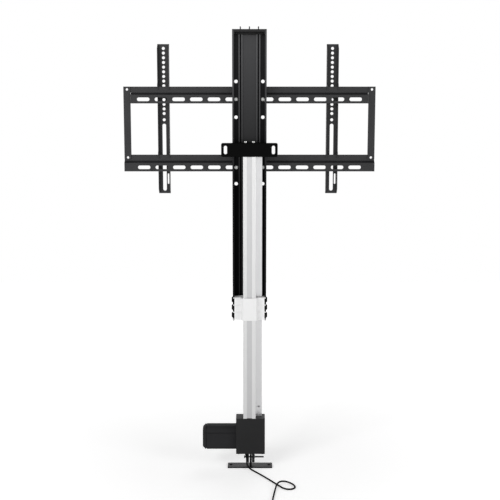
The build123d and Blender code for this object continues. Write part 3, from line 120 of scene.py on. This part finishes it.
# Soft PVC: matt, with dust on its skin and a faint 1 mm ripple from the cores under it
soft_pvc = surfaced("soft_pvc", ("#030303", "#0b0b0b"), patch=11.1, grit=1.11,
                    relief=(0.25, 0.2), roughness=0.55, specular=0.1, detail=(4.0, 1.0))

cord_radius = 0.0024
on_floor = 0.00245      # the cord's middle where it lies on the floor
crossing = 0.0079       # and where its loop passes over itself
lane = 0.061            # where the free run comes in, and so the coil's outer side
free_run = [
    (-0.0080, -0.0285, 0.0338),
    (-0.0080, -0.0285, 0.0215),
    (-0.0055, -0.0315, 0.0105),
    (0.0010, -0.0375, 0.0046),
    (0.0125, -0.0500, on_floor),
    (0.0220, -0.0635, on_floor),
    (0.0340, -0.0820, on_floor),
    (0.0575, -0.1195, on_floor),
    (0.0755, -0.1510, on_floor),
    (0.0845, -0.1650, on_floor),
    (0.0930, -0.1795, on_floor),
    (0.1050, -0.1885, on_floor),
    (0.1195, -0.1870, on_floor),
    (0.1280, -0.1750, on_floor),
    (0.1255, -0.1605, on_floor + 0.0005),
    (0.1160, -0.1490, on_floor + 0.0025),
    (0.1025, -0.1395, crossing - 0.0015),
    (0.0880, -0.1425, crossing),
    (0.0795, -0.1555, crossing),
    (0.0750, -0.1735, crossing),
    (0.0705, -0.1990, on_floor + 0.002),
    (0.0665, -0.2280, on_floor),
    (0.0630, -0.2575, on_floor),
    (lane, -0.2875, on_floor),
]
coil_pitch = 0.0063     # from turn to turn and from layer to layer
coil_middle = 0.025     # the radius at the middle of the turns
coil_outer = coil_middle + 1.5 * coil_pitch
coil_centre = Vector((lane - coil_outer, -0.322, 0.0))
corner_cut = 0.966      # the line passes this share of the way out to each point of the coil
turn_step = 30          # degrees
inwards = 6             # half turns in the lower layer
half_turns = 12         # in both layers, the climb between them included
coil = []
for step in range(half_turns * 180 // turn_step + 1):
    half_turn = step * turn_step / 180
    lap = min(half_turn, inwards, half_turns + 1 - half_turn)
    radius = (coil_outer - lap * coil_pitch / 2) / corner_cut
    angle = -math.radians(turn_step) * step
    climb = min(max(half_turn - inwards, 0.0), 1.0) * coil_pitch
    coil.append(coil_centre + Vector((radius * math.cos(angle), radius * math.sin(angle),
                                      on_floor + climb)))
tail_x = lane - coil_pitch / 2
tail_z = on_floor + coil_pitch
cord_end = -0.348
tail = [Vector((tail_x, y, tail_z)) for y in (-0.335, cord_end)]
coil[0].x = lane
coil[-1].x = tail_x
cord_data = bpy.data.curves.new("motor_cord_line", "CURVE")
cord_data.dimensions = "3D"
cord_data.bevel_depth = cord_radius
cord_data.bevel_resolution = 5
cord_data.use_fill_caps = True
cord_data.resolution_u = 8
line = cord_data.splines.new("NURBS")
route = [Vector(point) for point in free_run] + coil + tail
line.points.add(len(route) - 1)
for point, spot in zip(line.points, route):
    point.co = (spot.x, spot.y, spot.z, 1.0)
line.order_u = 3
line.use_endpoint_u = True
motor_cord = bpy.data.objects.new("motor_cord_line", cord_data)
bpy.context.scene.collection.objects.link(motor_cord)
cord_data.materials.append(soft_pvc)
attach(motor_cord, "column")
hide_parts("motor_cord", "cord_coil")

# Connector at the cord's end: a ribbed PVC relief moulded on the cord, a fluted nylon barrel
# 15.4 mm thick to grip it by, and an open shell of nickel-plated brass
body_of = {node: body for body, nodes in frame["record"]["behaviour"]["bodies"].items()
           for node in nodes}


def turned(rim, steps=48):
    """A lathe-turned shape from (radius, height) pairs in millimetres, wound about the z axis."""
    shape = bmesh.new()
    verts = [shape.verts.new((radius / 1000, 0.0, up / 1000)) for radius, up in rim]
    edges = [shape.edges.new(pair) for pair in zip(verts, verts[1:])]
    bmesh.ops.spin(shape, geom=verts + edges, cent=(0, 0, 0), axis=(0, 0, 1), dvec=(0, 0, 0),
                   angle=math.tau, steps=steps, use_merge=True)
    bmesh.ops.remove_doubles(shape, verts=shape.verts, dist=0.000001)
    return shape


def set_out(single, spots, turn=Matrix(), turned_on=0.7):
    """Copies a small shape to places in millimetres, turned to its axis.

    Each copy is turned on a little from the last, as screws stop where they are tight.
    """
    stamp = bpy.data.meshes.new("stamp")
    single.to_mesh(stamp)
    single.free()
    whole = bmesh.new()
    for i, spot in enumerate(spots):
        before = len(whole.verts)
        whole.from_mesh(stamp)
        whole.verts.ensure_lookup_table()
        place = Matrix.Translation(Vector(spot) / 1000) @ turn
        place = place @ Matrix.Rotation(turned_on * i, 4, "Z")
        bmesh.ops.transform(whole, matrix=place, verts=whole.verts[before:])
    return whole


def finished(shape, material, *nodes, sharp_from=42):
    """Makes a bmesh an object that stands for CAD nodes and rides on their body.

    Its edges are shaded as sharp from this many degrees on.
    """
    bmesh.ops.remove_doubles(shape, verts=shape.verts, dist=0.000002)
    bmesh.ops.recalc_face_normals(shape, faces=shape.faces)
    for face in shape.faces:
        face.smooth = True
    for edge in shape.edges:
        edge.smooth = not edge.is_manifold or edge.calc_face_angle() < math.radians(sharp_from)
    data = bpy.data.meshes.new(nodes[0] + "_finish")
    shape.to_mesh(data)
    shape.free()
    data.materials.append(material)
    piece = bpy.data.objects.new(nodes[0] + "_finish", data)
    bpy.context.scene.collection.objects.link(piece)
    even = piece.modifiers.new("even_normals", "WEIGHTED_NORMAL")
    even.keep_sharp = True
    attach(piece, body_of[nodes[0]])
    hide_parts(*nodes)
    return piece


to_front = Matrix.Rotation(math.radians(90), 4, "X")
plug_x = 1000 * tail_x
plug_z = 1000 * tail_z
relief_seat = 1000 * cord_end
relief_length = 18.0
rib_pitch = 3.2
relief = [(0, 0), (3.2, 0), (3.4, 0.3)]
for rib in range(5):
    near = 1.2 + rib_pitch * rib
    outer = 3.4 + 1.2 * near / relief_length
    relief += [(outer, near), (outer - 0.8, near + 0.1), (outer - 0.8, near + 1.0),
               (outer, near + 1.1)]
relief += [(4.6, 17.6), (4.6, relief_length), (0, relief_length)]
finished(set_out(turned(relief), [(plug_x, relief_seat, plug_z)], to_front), soft_pvc,
         "plug_strain_relief")

# Glass-filled nylon: near black, with the cell grain that spark erosion leaves in a mould, drawn
# at 0.8 mm so that it shows, and a gloss that differs a little from place to place
grained = surfaced("grained_nylon", ("#151516", "#202021"), patch=71.4, grit=0.77,
                   relief=(0.25, 0.3), roughness=(0.474, 0.546), specular=0.3, eroded=True)
barrel_seat = relief_seat - relief_length
barrel_length = 26.0
flutes = 24
flute_depth = 0.5
fluted_from = 5.5
fluted_to = 20.5
barrel = turned([(0, 0), (6.9, 0.0), (7.5, 0.6), (7.7, 1.4), (7.7, 5.0), (7.6, 5.6), (7.6, 20.4),
                 (7.7, 21.0), (7.7, 25.2), (7.4, 25.8), (7.0, barrel_length),
                 (0, barrel_length)], 4 * flutes)
for vert in barrel.verts:
    if fluted_from < 1000 * vert.co.z < fluted_to:
        around = math.atan2(vert.co.y, vert.co.x)
        sunk = flute_depth / 1000 * (0.5 - 0.5 * math.cos(flutes * around))
        reach = math.hypot(vert.co.x, vert.co.y)
        vert.co.xy *= (reach - sunk) / reach
finished(set_out(barrel, [(plug_x, barrel_seat, plug_z)], to_front), grained, "connector_body")

# Bright nickel: a hard, warm mirror, hardly wavy
nickel = surfaced("nickel_plate", ("#b9b6ae", "#dcdad3"), patch=2.86, grit=2.86,
                  relief=(0.05, 0.1), roughness=0.18, metallic=1.0)
shell_seat = barrel_seat - barrel_length
shell = turned([(6.0, 0.0), (6.6, 0.0), (6.6, 8.6), (6.45, 9.0), (6.15, 9.0), (6.0, 8.6),
                (6.0, 0.0)])
finished(set_out(shell, [(plug_x, shell_seat, plug_z)], to_front), nickel, "connector_shell")

# Studio: a white paper sweep that keeps the shadow, and a white room that darkens overhead.
# The paper glows for the camera, more so further off, and faintly in reflections
floor_data = bpy.data.meshes.new("floor")
sheet = bmesh.new()
bmesh.ops.create_grid(sheet, x_segments=1, y_segments=1, size=3.0)
sheet.to_mesh(floor_data)
sheet.free()
floor = bpy.data.objects.new("floor", floor_data)
bpy.context.scene.collection.objects.link(floor)
paper = bpy.data.materials.new("paper_sweep")
paper.use_nodes = True
tree = paper.node_tree
seen = add(tree, "ShaderNodeLightPath", {})
place = add(tree, "ShaderNodeTexCoord", {})["Object"]
away = add(tree, "ShaderNodeVectorMath", {0: place}, operation="LENGTH")["Value"]
rising = add(tree, "ShaderNodeMapRange", {"Value": away, "From Min": 0.3, "From Max": 1.5,
                                          "To Min": 0.46, "To Max": 0.7})["Result"]
glow = add(tree, "ShaderNodeMath", {0: seen["Is Camera Ray"], 1: rising},
           operation="MULTIPLY")["Value"]
mirrored = add(tree, "ShaderNodeMath", {0: seen["Is Glossy Ray"], 1: 0.16, 2: glow},
               operation="MULTIPLY_ADD")["Value"]
fit(tree, tree.nodes["Principled BSDF"],
    {"Base Color": linear("#f2f2f2"), "Roughness": 0.9, "Specular IOR Level": 0.0,
     "Emission Color": (1.0, 1.0, 1.0, 1.0), "Emission Strength": mirrored})
floor_data.materials.append(paper)

world = bpy.data.worlds.new("white_room")
world.use_nodes = True
bpy.context.scene.world = world
tree = world.node_tree
way = add(tree, "ShaderNodeTexCoord", {})["Generated"]
height = add(tree, "ShaderNodeSeparateXYZ", {"Vector": way})["Z"]
walls = add(tree, "ShaderNodeMapRange", {"Value": height, "From Min": 0.15, "From Max": 0.75,
                                         "To Min": 1.0, "To Max": 0.15})["Result"]
seen = add(tree, "ShaderNodeLightPath", {})
mirrored = add(tree, "ShaderNodeMath",
               {0: seen["Is Glossy Ray"], 1: seen["Is Transmission Ray"]},
               operation="MAXIMUM")["Value"]
straight = add(tree, "ShaderNodeMath", {0: seen["Is Camera Ray"], 1: mirrored},
               operation="MAXIMUM")["Value"]
strength = add(tree, "ShaderNodeMapRange",
               {"Value": straight, "To Min": 0.85, "To Max": 1.0})["Result"]
fit(tree, tree.nodes["Background"], {"Color": walls, "Strength": strength})

for name, spot, size, power in (
    ("soft_box_left", (-1.9, -2.6, 2.3), 1.6, 42.0),
    ("soft_box_right", (2.2, -1.6, 1.4), 1.2, 14.0),
    ("soft_box_back", (0.6, 2.6, 2.4), 1.6, 14.0),
):
    lamp_data = bpy.data.lights.new(name, "AREA")
    lamp_data.energy = power
    lamp_data.size = size
    lamp = bpy.data.objects.new(name, lamp_data)
    lamp.location = spot
    aim = Vector((0.0, 0.0, 0.75)) - Vector(spot)
    lamp.rotation_euler = aim.to_track_quat("-Z", "Y").to_euler()
    bpy.context.scene.collection.objects.link(lamp)


# Foot: a 131 x 36 mm steel plate, cut from strip, with a tongue welded on, screwed to the floor
# and dipped in gloss powder coat
def merged_copy(node):
    """The mesh of a CAD node as a bmesh, with its triangles joined into flat faces."""
    shape = bmesh.new()
    shape.from_mesh(frame["nodes"][node].data)
    bmesh.ops.remove_doubles(shape, verts=shape.verts, dist=0.00001)
    bmesh.ops.dissolve_limit(shape, angle_limit=math.radians(0.6), verts=shape.verts,
                             edges=shape.edges)
    return shape


def eased(shape, width, sharp_from=32):
    """Puts a small radius, its width in millimetres, along edges of this many degrees or more."""
    sharp = [edge for edge in shape.edges
             if edge.is_manifold and edge.calc_face_angle() > math.radians(sharp_from)]
    bmesh.ops.bevel(shape, geom=sharp, offset=width / 1000, affect="EDGES", segments=2,
                    profile=0.5, material=-1, clamp_overlap=True)
    return shape


def eased_copy(node, material, width):
    """A copy of a CAD node with eased edges, which stands for it."""
    return finished(eased(merged_copy(node), width), material, node)


# Gloss powder coat: deep black, with a 1.4 mm orange peel and rubbed patches
gloss_coat = surfaced("gloss_powder_coat", ("#080809", "#101011"), patch=40.0, grit=1.43,
                      relief=(0.12, 0.3), roughness=(0.24, 0.42), specular=0.2,
                      detail=(5.0, 2.0))
eased_copy("foot_plate", gloss_coat, 0.5)

# Clevis pin: 4.5 mm turned steel with a head and a rounded tip, blackened in hot oxide, so it is
# dark and a little oily; its spring clip is zinc plated, pale with a dull bloom
black_oxide = surfaced("black_oxide_steel", ("#070707", "#121211"), patch=3.33, grit=3.33,
                       relief=(0.12, 0.2), roughness=0.4, specular=0.3)
zinc = surfaced("zinc_plated_steel", ("#b4b8bb", "#dedcd6"), patch=4.55, grit=0.385,
                relief=(0.1, 0.1), roughness=(0.252, 0.348), metallic=1.0, detail=(4.0, 1.0))
to_right = Matrix.Rotation(math.radians(90), 4, "Y")
to_left = Matrix.Rotation(math.radians(-90), 4, "Y")
to_back = Matrix.Rotation(math.radians(-90), 4, "X")
downwards = Matrix.Rotation(math.radians(180), 4, "X")
pin_head = (-16.0, -4.0, 28.5)
pin = turned([(0, 0), (3.6, 0), (4.0, 0.15), (4.2, 0.6), (4.2, 2.1), (4.05, 2.4), (3.7, 2.5),
              (2.25, 2.5), (2.25, 57.5), (2.1, 57.9), (1.65, 58.2), (0, 58.2)])
finished(set_out(pin, [pin_head], to_right), black_oxide, "clevis_pin")
eased_copy("pin_clip", zinc, 0.1)

# Gearbox: two mouldings in the grained nylon, the base screwed on from below. The motor's cover
# is three mouldings that meet in 2.4 mm gaps: a lower and an upper half, and an end cap
eased_copy("gearbox_housing", grained, 0.6)
eased_copy("gearbox_base", grained, 0.6)
halves_meet = 0.1053
cap_meets = -0.1265
half_gap = 0.0012
gap_depth = 0.0018
cover_middle = Vector((-0.085, 0.0103, 0.0888))
cover = eased(merged_copy("motor_cover"), 0.8)
for side in (-half_gap, half_gap):
    for spot, way in (((0, 0, halves_meet + side), (0, 0, 1)),
                      ((cap_meets + side, 0, 0), (1, 0, 0))):
        bmesh.ops.bisect_plane(cover, geom=cover.verts[:] + cover.edges[:] + cover.faces[:],
                               plane_co=spot, plane_no=way)
gaps = []
for face in cover.faces:
    spot = face.calc_center_median()
    outside = face.normal.dot(spot - cover_middle) > 0
    if outside and (abs(spot.z - halves_meet) < half_gap or abs(spot.x - cap_meets) < half_gap):
        gaps.append(face)
bmesh.ops.inset_region(cover, faces=gaps, thickness=0.0, depth=-gap_depth,
                       use_even_offset=False)

# Blasted nylon: duller than the gearbox's, so that it gives no gleam on its rounded upper edge
dull_nylon = surfaced("blasted_nylon", ("#272728", "#343436"), patch=62.5, grit=0.77,
                      relief=(0.3, 0.3), roughness=0.62, specular=0.07, eroded=True)
finished(cover, dull_nylon, "motor_cover")

# Gland: a tapered sleeve in soft PVC, moulded with five ribs that let it bend, 14 mm long, and
# pushed into the gearbox base round the cord's way out
gland_mouth = (-8.0, -28.5, 33.8)
sleeve_length = 14.0
rib_pitch = 2.6
sleeve = [(0, 18.0), (4.0, 18.0), (4.0, sleeve_length)]
for rib in range(5):
    top = sleeve_length - rib_pitch * rib
    outer = 3.2 + 2.2 * top / sleeve_length
    sleeve += [(outer, top), (outer - 0.2, top - 1.6), (outer - 0.9, top - 1.7),
               (outer - 1.0, top - 2.5)]
sleeve += [(3.2, 1.0), (3.2, 0.3), (2.9, 0.0), (0, 0.0)]
finished(set_out(turned(sleeve), [gland_mouth]), soft_pvc, "cable_gland")


# Base screws: four zinc-plated M4 button heads, 7.6 mm wide with key sockets, which hold the
# base at its corners from below
def key_socket(shape, corner, top, depth):
    """Sinks a six-sided socket, its corners this far from the axis, into an open-topped head.

    A flat face stays over the socket's mouth.
    """
    rim = [edge for edge in shape.edges if edge.is_boundary]
    made = bmesh.ops.create_circle(shape, cap_ends=True, radius=corner / 1000, segments=6,
                                   matrix=Matrix.Translation((0, 0, top / 1000)))
    mouth = made["verts"][0].link_faces[0]
    bmesh.ops.bridge_loops(shape, edges=rim + list(mouth.edges))
    sunk = bmesh.ops.extrude_face_region(shape, geom=[mouth])
    low = [v for v in sunk["geom"] if isinstance(v, bmesh.types.BMVert)]
    bmesh.ops.translate(shape, verts=low, vec=(0, 0, -depth / 1000))
    return shape


base_middle = Vector((3.0, -6.0, 47.8))
pan_head = key_socket(turned([(0, -4.0), (1.8, -4.0), (2.0, -3.6), (2.0, 0), (3.8, 0),
                              (3.8, 0.9), (3.5, 1.7), (2.9, 2.25), (2.2, 2.4), (1.8, 2.4)]),
                      corner=1.45, top=2.4, depth=1.5)
corners = [base_middle + Vector((x, y, 0.0)) for x in (-35, 35) for y in (-21.5, 21.5)]
finished(set_out(pan_head, corners, downwards), zinc, "base_screws")

# Motor inside its cover: a deep-drawn steel can in baked enamel, a ground end plate and a
# laminated armature, with ball bearings for the worm and for the lead screw
can_paint = surfaced("motor_enamel", ("#202123", "#2c2d30"), patch=16.7, grit=16.7,
                     relief=(0.1, 0.4), roughness=0.4, detail=(4.0, 4.0))
ground = surfaced("ground_steel", ("#8e8f91", "#b5b5b6"), patch=1.11, grit=1.11,
                  relief=(0.08, 0.1), roughness=0.25, metallic=1.0)
eased_copy("motor_can", can_paint, 0.6)
eased_copy("motor_end_plate", ground, 0.4)
eased_copy("armature", can_paint, 0.3)
eased_copy("worm_bearings", ground, 0.3)
eased_copy("screw_bearings", ground, 0.3)


# Drive: a hardened worm with four starts on the motor's 5 mm shaft, a bronze wheel with 24
# teeth, and the ground lead screw, 14 mm thick, four starts of 5 mm pitch, so that a turn
# lifts by 20 mm
def wound_thread(core, crest, pitch, starts, low, high, steps):
    """A closed right-hand thread about the z axis between two heights, all in millimetres."""
    shape = bmesh.new()
    lead = pitch * starts
    rim = [(radius, (tooth + up) * pitch) for tooth in range(starts)
           for radius, up in ((core, 0.0), (core, 0.3), (crest, 0.45), (crest, 0.85))]
    rim += [(core, lead)]
    start = low - 2 * lead
    verts = [shape.verts.new((radius / 1000, 0.0, (start + up) / 1000)) for radius, up in rim]
    edges = [shape.edges.new(pair) for pair in zip(verts, verts[1:])]
    turns = math.ceil((high - low) / lead) + 3
    bmesh.ops.spin(shape, geom=verts + edges, cent=(0, 0, 0), axis=(0, 0, 1),
                   dvec=(0, 0, lead / steps / 1000), angle=math.tau * turns,
                   steps=steps * turns)
    bmesh.ops.remove_doubles(shape, verts=shape.verts, dist=0.00002)
    for end, way in ((low, -1), (high, 1)):
        bmesh.ops.bisect_plane(shape, geom=shape.verts[:] + shape.edges[:] + shape.faces[:],
                               plane_co=(0, 0, end / 1000), plane_no=(0, 0, way),
                               clear_outer=True)
    open_ends = [edge for edge in shape.edges if edge.is_boundary]
    bmesh.ops.holes_fill(shape, edges=open_ends, sides=0)
    return shape


def joined(*shapes):
    """Several shapes as one."""
    whole = bmesh.new()
    for shape in shapes:
        stamp = bpy.data.meshes.new("stamp")
        shape.to_mesh(stamp)
        shape.free()
        whole.from_mesh(stamp)
    return whole


# Machined bronze: warm brown metal, with fine tool marks
bronze = surfaced("machined_bronze", ("#9a7440", "#c79a5c"), patch=2.0, grit=2.0,
                  relief=(0.1, 0.1), roughness=0.32, metallic=1.0)
worm_middle = (0, 10.3, 88.8)
shaft = turned([(0, -126.0), (2.2, -126.0), (2.5, -125.7), (2.5, 41.3), (2.2, 41.6), (0, 41.6)],
               32)
worm = wound_thread(core=3.0, crest=4.5, pitch=3.5, starts=4, low=-15.0, high=15.0, steps=32)
finished(set_out(joined(shaft, worm), [worm_middle], to_right), ground, "worm_shaft")
eased_copy("worm_wheel", bronze, 0.3)
screw_axis = (0, -9.0, 0)
thread_foot = 141.3
thread_top = 925.2
rod = wound_thread(core=5.0, crest=7.0, pitch=5.0, starts=4, low=thread_foot, high=thread_top,
                   steps=24)
lower_journal = turned([(0, 60.0), (4.6, 60.0), (5.0, 60.4), (5.0, thread_foot),
                        (0, thread_foot)])
upper_journal = turned([(0, thread_top), (5.0, thread_top), (5.0, 946.8), (4.6, 947.2),
                        (0, 947.2)])
finished(set_out(joined(rod, lower_journal, upper_journal), [screw_axis]), ground, "lead_screw")
eased_copy("drive_nut", bronze, 0.5)
eased_copy("screw_bush", bronze, 0.3)


# Column: an extruded aluminium profile 54 x 46 mm, anodised silver, with die lines along it.
# Its colour is painted in zones across it: the two front ribs brightest, the 14 mm groove
# between them darker as painted shade, the recessed side a little darker, and the flanks
# greyer still as painted shade
def die_drawn(name, width, length, streak, painted_shade_zones, even=False, painted_light_by_height=None):
    """Anodised metal with die lines along z, with painted shade and highlights zone by zone.

    Width and length are those of the lines in millimetres, and streak is how far they darken
    and lighten the tone. Each zone's colour begins at its place in millimetres along x, or out
    from the middle to both sides if the profile is even; the zones carry painted shade and
    painted highlights. Painted light by height is two heights in metres and how strong the tone
    is at each, which paints light that changes from one height to the other.
    """
    material = bpy.data.materials.new(name)
    material.use_nodes = True
    tree = material.node_tree
    place = add(tree, "ShaderNodeTexCoord", {})["Object"]
    spot = add(tree, "ShaderNodeSeparateXYZ", {"Vector": place})
    across = spot["X"]
    if even:
        across = add(tree, "ShaderNodeMath", {0: across}, operation="ABSOLUTE")["Value"]
    # The zones' colours are painted shade and painted highlights across the profile
    start = painted_shade_zones[0][0]
    end = painted_shade_zones[-1][0] + 1
    share = add(tree, "ShaderNodeMapRange", {"Value": across, "From Min": start / 1000,
                                             "From Max": end / 1000})["Result"]
    ramp = tree.nodes.new("ShaderNodeValToRGB")
    ramp.color_ramp.interpolation = "CONSTANT"
    stops = ramp.color_ramp.elements
    stops.remove(stops[1])
    stops[0].color = linear(painted_shade_zones[0][1])
    for begins, tone in painted_shade_zones[1:]:
        stops.new((begins - start) / (end - start)).color = linear(tone)
    fit(tree, ramp, {"Fac": share})
    stretched = add(tree, "ShaderNodeMapping",
                    {"Vector": place,
                     "Scale": (1000 / width, 1000 / width, 1000 / length)})["Vector"]
    lines = add(tree, "ShaderNodeTexNoise",
                {"Vector": stretched, "Scale": 1.0, "Detail": 3.0})["Fac"]
    depth = add(tree, "ShaderNodeMapRange",
                {"Value": lines, "To Min": streak[0], "To Max": streak[1]})["Result"]
    # Painted light: the tone is scaled from one strength to the other between two heights
    if painted_light_by_height:
        painted_height_light = add(tree, "ShaderNodeMapRange",
                    {"Value": spot["Z"], "From Min": painted_light_by_height[0], "From Max": painted_light_by_height[1],
                     "To Min": painted_light_by_height[2], "To Max": painted_light_by_height[3]})["Result"]
        depth = add(tree, "ShaderNodeMath", {0: depth, 1: painted_height_light}, operation="MULTIPLY")["Value"]
    colour = add(tree, "ShaderNodeVectorMath", {0: ramp.outputs["Color"], 1: depth},
                 operation="MULTIPLY")["Vector"]
    raised = add(tree, "ShaderNodeBump",
                 {"Height": lines, "Strength": 0.08, "Distance": 0.0001})["Normal"]
    satin = add(tree, "ShaderNodeMapRange",
                {"Value": lines, "To Min": 0.28, "To Max": 0.42})["Result"]
    fit(tree, tree.nodes["Principled BSDF"],
        {"Base Color": colour, "Normal": raised, "Roughness": satin, "Metallic": 1.0})
    return material


# Painted shade: the groove and the flanks are coloured darker than the ribs
anodised = die_drawn("anodised_aluminium", width=0.714, length=333.0, streak=(0.94, 1.02),
                     painted_shade_zones=((-19, "#c2c2c4"), (-17.9, "#f1f1f1"), (-7, "#dcdcdd"),
                            (7, "#f3f3f3"), (18, "#eaeaeb"), (35.9, "#c2c2c4")))
eased_copy("column_profile", anodised, 0.3)

# End blocks and nut carrier: die-cast aluminium, blasted to a mid grey with a coarse sparkle;
# the blocks are pressed into the column's ends, and the carrier holds the drive nut
cast = surfaced("die_cast_aluminium", ("#8a8b8d", "#a9aaab"), patch=2.5, grit=2.5,
                relief=(0.2, 0.3), roughness=0.5, metallic=1.0, detail=(4.0, 4.0))
eased_copy("column_top_block", cast, 0.5)
eased_copy("column_foot_block", cast, 0.5)
eased_copy("nut_carrier", cast, 0.5)

# Wall bracket: 3 mm bent steel with two upright slots, powder coated in a deep satin black with
# a 1.3 mm texture, held on the column's top by two M5 cap screws with 9.2 mm heads
satin_coat = surfaced("satin_powder_coat", ("#050505", "#090909"), patch=33.3, grit=1.25,
                      relief=(0.2, 0.3), roughness=0.45, specular=0.04, detail=(4.0, 2.0))
eased_copy("wall_bracket", satin_coat, 0.4)
for node, seat, turn in (("wall_bracket_screws", 950.6, Matrix()),
                         ("column_foot_screws", 151.5, downwards)):
    cap_screw = key_socket(turned([(0, -18.0), (2.1, -18.0), (2.5, -17.6), (2.5, 0), (4.3, 0),
                                   (4.6, 0.3), (4.6, 3.7), (4.45, 4.05), (4.1, 4.2),
                                   (2.9, 4.2)]), corner=2.31, top=4.2, depth=2.5)
    finished(set_out(cap_screw, [(-11.2, -22.6, seat), (11.2, -22.6, seat)], turn), zinc, node)

# Lift channel: an aluminium extrusion, 96 x 37 mm and 818 mm long, open towards the wall, with
# two C guides inside and a moulded cap on its end, anodised black. Its colour is painted in
# zones: painted shade in the guides and on the side flats, painted highlights on the guides'
# lips and the walls, a painted sheen on the middle of the web, and painted light that makes it
# paler towards the top and darker towards the bottom
black_anodised = die_drawn("black_anodised_aluminium", width=0.833, length=400.0,
                           streak=(0.85, 1.15), even=True, painted_light_by_height=(0.82, 1.2, 0.3, 1.7),
                           painted_shade_zones=((0, "#373738"), (19.5, "#4a4a4b"), (22.5, "#171718"),
                                  (27.5, "#4a4a4b"), (30.5, "#1c1c1d"), (43, "#3b3b3c")))
eased_copy("lift_profile", black_anodised, 0.4)
eased_copy("lift_top_cap", grained, 0.4)

# Top studs: three pins in black-oxide steel, 3.5 mm thick and 25.2 mm apart, with a rolled
# 0.6 mm thread, screwed through the cap
stud = joined(wound_thread(core=1.4, crest=1.75, pitch=0.6, starts=1, low=1.0, high=10.9,
                           steps=16),
              turned([(0, 0), (1.75, 0), (1.75, 1.0), (0, 1.0)], 24),
              turned([(0, 10.9), (1.6, 10.9), (1.25, 11.5), (0, 11.5)], 24))
cap_top = 1259.2
finished(set_out(stud, [(x, 8.0, cap_top) for x in (-25.2, 0.0, 25.2)]), black_oxide,
         "top_studs")

# Guide collar: milky white acetal, smooth from the mould, round the column. Three black screws
# with 15.2 mm button heads hold it from each side, and four plated ones hold the nut carrier
# to the channel's back
acetal = surfaced("white_acetal", ("#fcfcfc", "#ffffff"), patch=25.0, grit=0.667,
                  relief=(0.08, 0.2), roughness=0.34, detail=(3.0, 1.0))
eased_copy("guide_collar", acetal, 0.8)
collar_side = 48.0
collar_middle = 477.85
sides = []
for side, turn in ((-1, to_left), (1, to_right)):
    button = key_socket(turned([(0, -10.6), (2.1, -10.6), (2.5, -10.2), (2.5, 0), (7.6, 0),
                                (7.6, 1.9), (7.35, 2.6), (6.8, 3.15), (6.1, 3.4), (2.9, 3.4)]),
                        corner=2.31, top=3.4, depth=2.2)
    spots = [(collar_side * side, 0.0, collar_middle + up) for up in (-22.5, 0.0, 22.5)]
    sides.append(set_out(button, spots, turn))
finished(joined(*sides), black_oxide, "collar_screws")
carrier_middle = 471.6
channel_back = 25.0
carrier_head = key_socket(turned([(0, -7.0), (2.1, -7.0), (2.5, -6.6), (2.5, 0), (4.6, 0),
                                  (4.6, 1.1), (4.3, 1.9), (3.6, 2.5), (2.7, 2.8), (2.1, 2.8)]),
                          corner=1.73, top=2.8, depth=1.8)
corners = [(x, channel_back, carrier_middle + up)
           for x in (-11.0, 11.0) for up in (-20.0, 20.0)]
finished(set_out(carrier_head, corners, to_back), zinc, "carrier_screws")

# Upper glides: a blackened steel plate screwed to the column's back, with two shoes moulded in
# the grained nylon that run in the channel's C guides
eased_copy("glide_plate", black_oxide, 0.2)
eased_copy("glide_screws", zinc, 0.1)
eased_copy("upper_glides", grained, 0.4)

# Rails, end bars and arms: punched and folded steel strip. Its powder coat is a dark grey satin
# with a 1.3 mm texture, drawn as coarse as it needs to show
strip_coat = surfaced("textured_powder_coat", ("#1c1c1e", "#2c2c2e"), patch=55.6, grit=1.33,
                      relief=(0.2, 0.3), roughness=0.4, specular=0.42, detail=(4.0, 2.0))
for strip in ("tv_rail_top", "tv_rail_bottom", "end_bar_left", "end_bar_right",
              "tv_arm_left", "tv_arm_right"):
    eased_copy(strip, strip_coat, 0.4)


# Rail bolts: four zinc-plated M8 flange bolts with 13 mm heads, which clamp the rails to the
# channel from the screen side, their ends flush in steel rivet nuts
def six_sided(shape, corner, low, high):
    """Adds a six-sided head between two heights, its top corners turned off to a round face.

    Its underside, which stands on the flange, stays open.
    """
    rings = []
    for radius, up, count in ((corner, low, 6), (corner, high - 0.8, 6), (0.84 * corner, high, 24)):
        made = bmesh.ops.create_circle(shape, cap_ends=count == 24, radius=radius / 1000,
                                       segments=count,
                                       matrix=Matrix.Translation((0, 0, up / 1000)))
        ring = set(made["verts"])
        rings.append([edge for edge in shape.edges if ring.issuperset(edge.verts)])
    bmesh.ops.bridge_loops(shape, edges=rings[0] + rings[1])
    bmesh.ops.bridge_loops(shape, edges=rings[1] + rings[2])
    return shape


bolt = six_sided(turned([(0, -5.5), (3.4, -5.5), (4.0, -4.9), (4.0, 0), (8.0, 0), (8.0, 0.6),
                         (7.7, 0.9), (6.6, 1.6), (0, 1.6)]), corner=7.5, low=1.6, high=6.6)
rail_thick = 2.5
rail_back = channel_back + rail_thick
rail_heights = (878.9, 1070.7)
spots = [(x, rail_back, up) for up in rail_heights for x in (-37.8, 37.8)]
finished(set_out(bolt, spots, to_back), zinc, "rail_bolts")
eased_copy("rivet_nuts", zinc, 0.2)
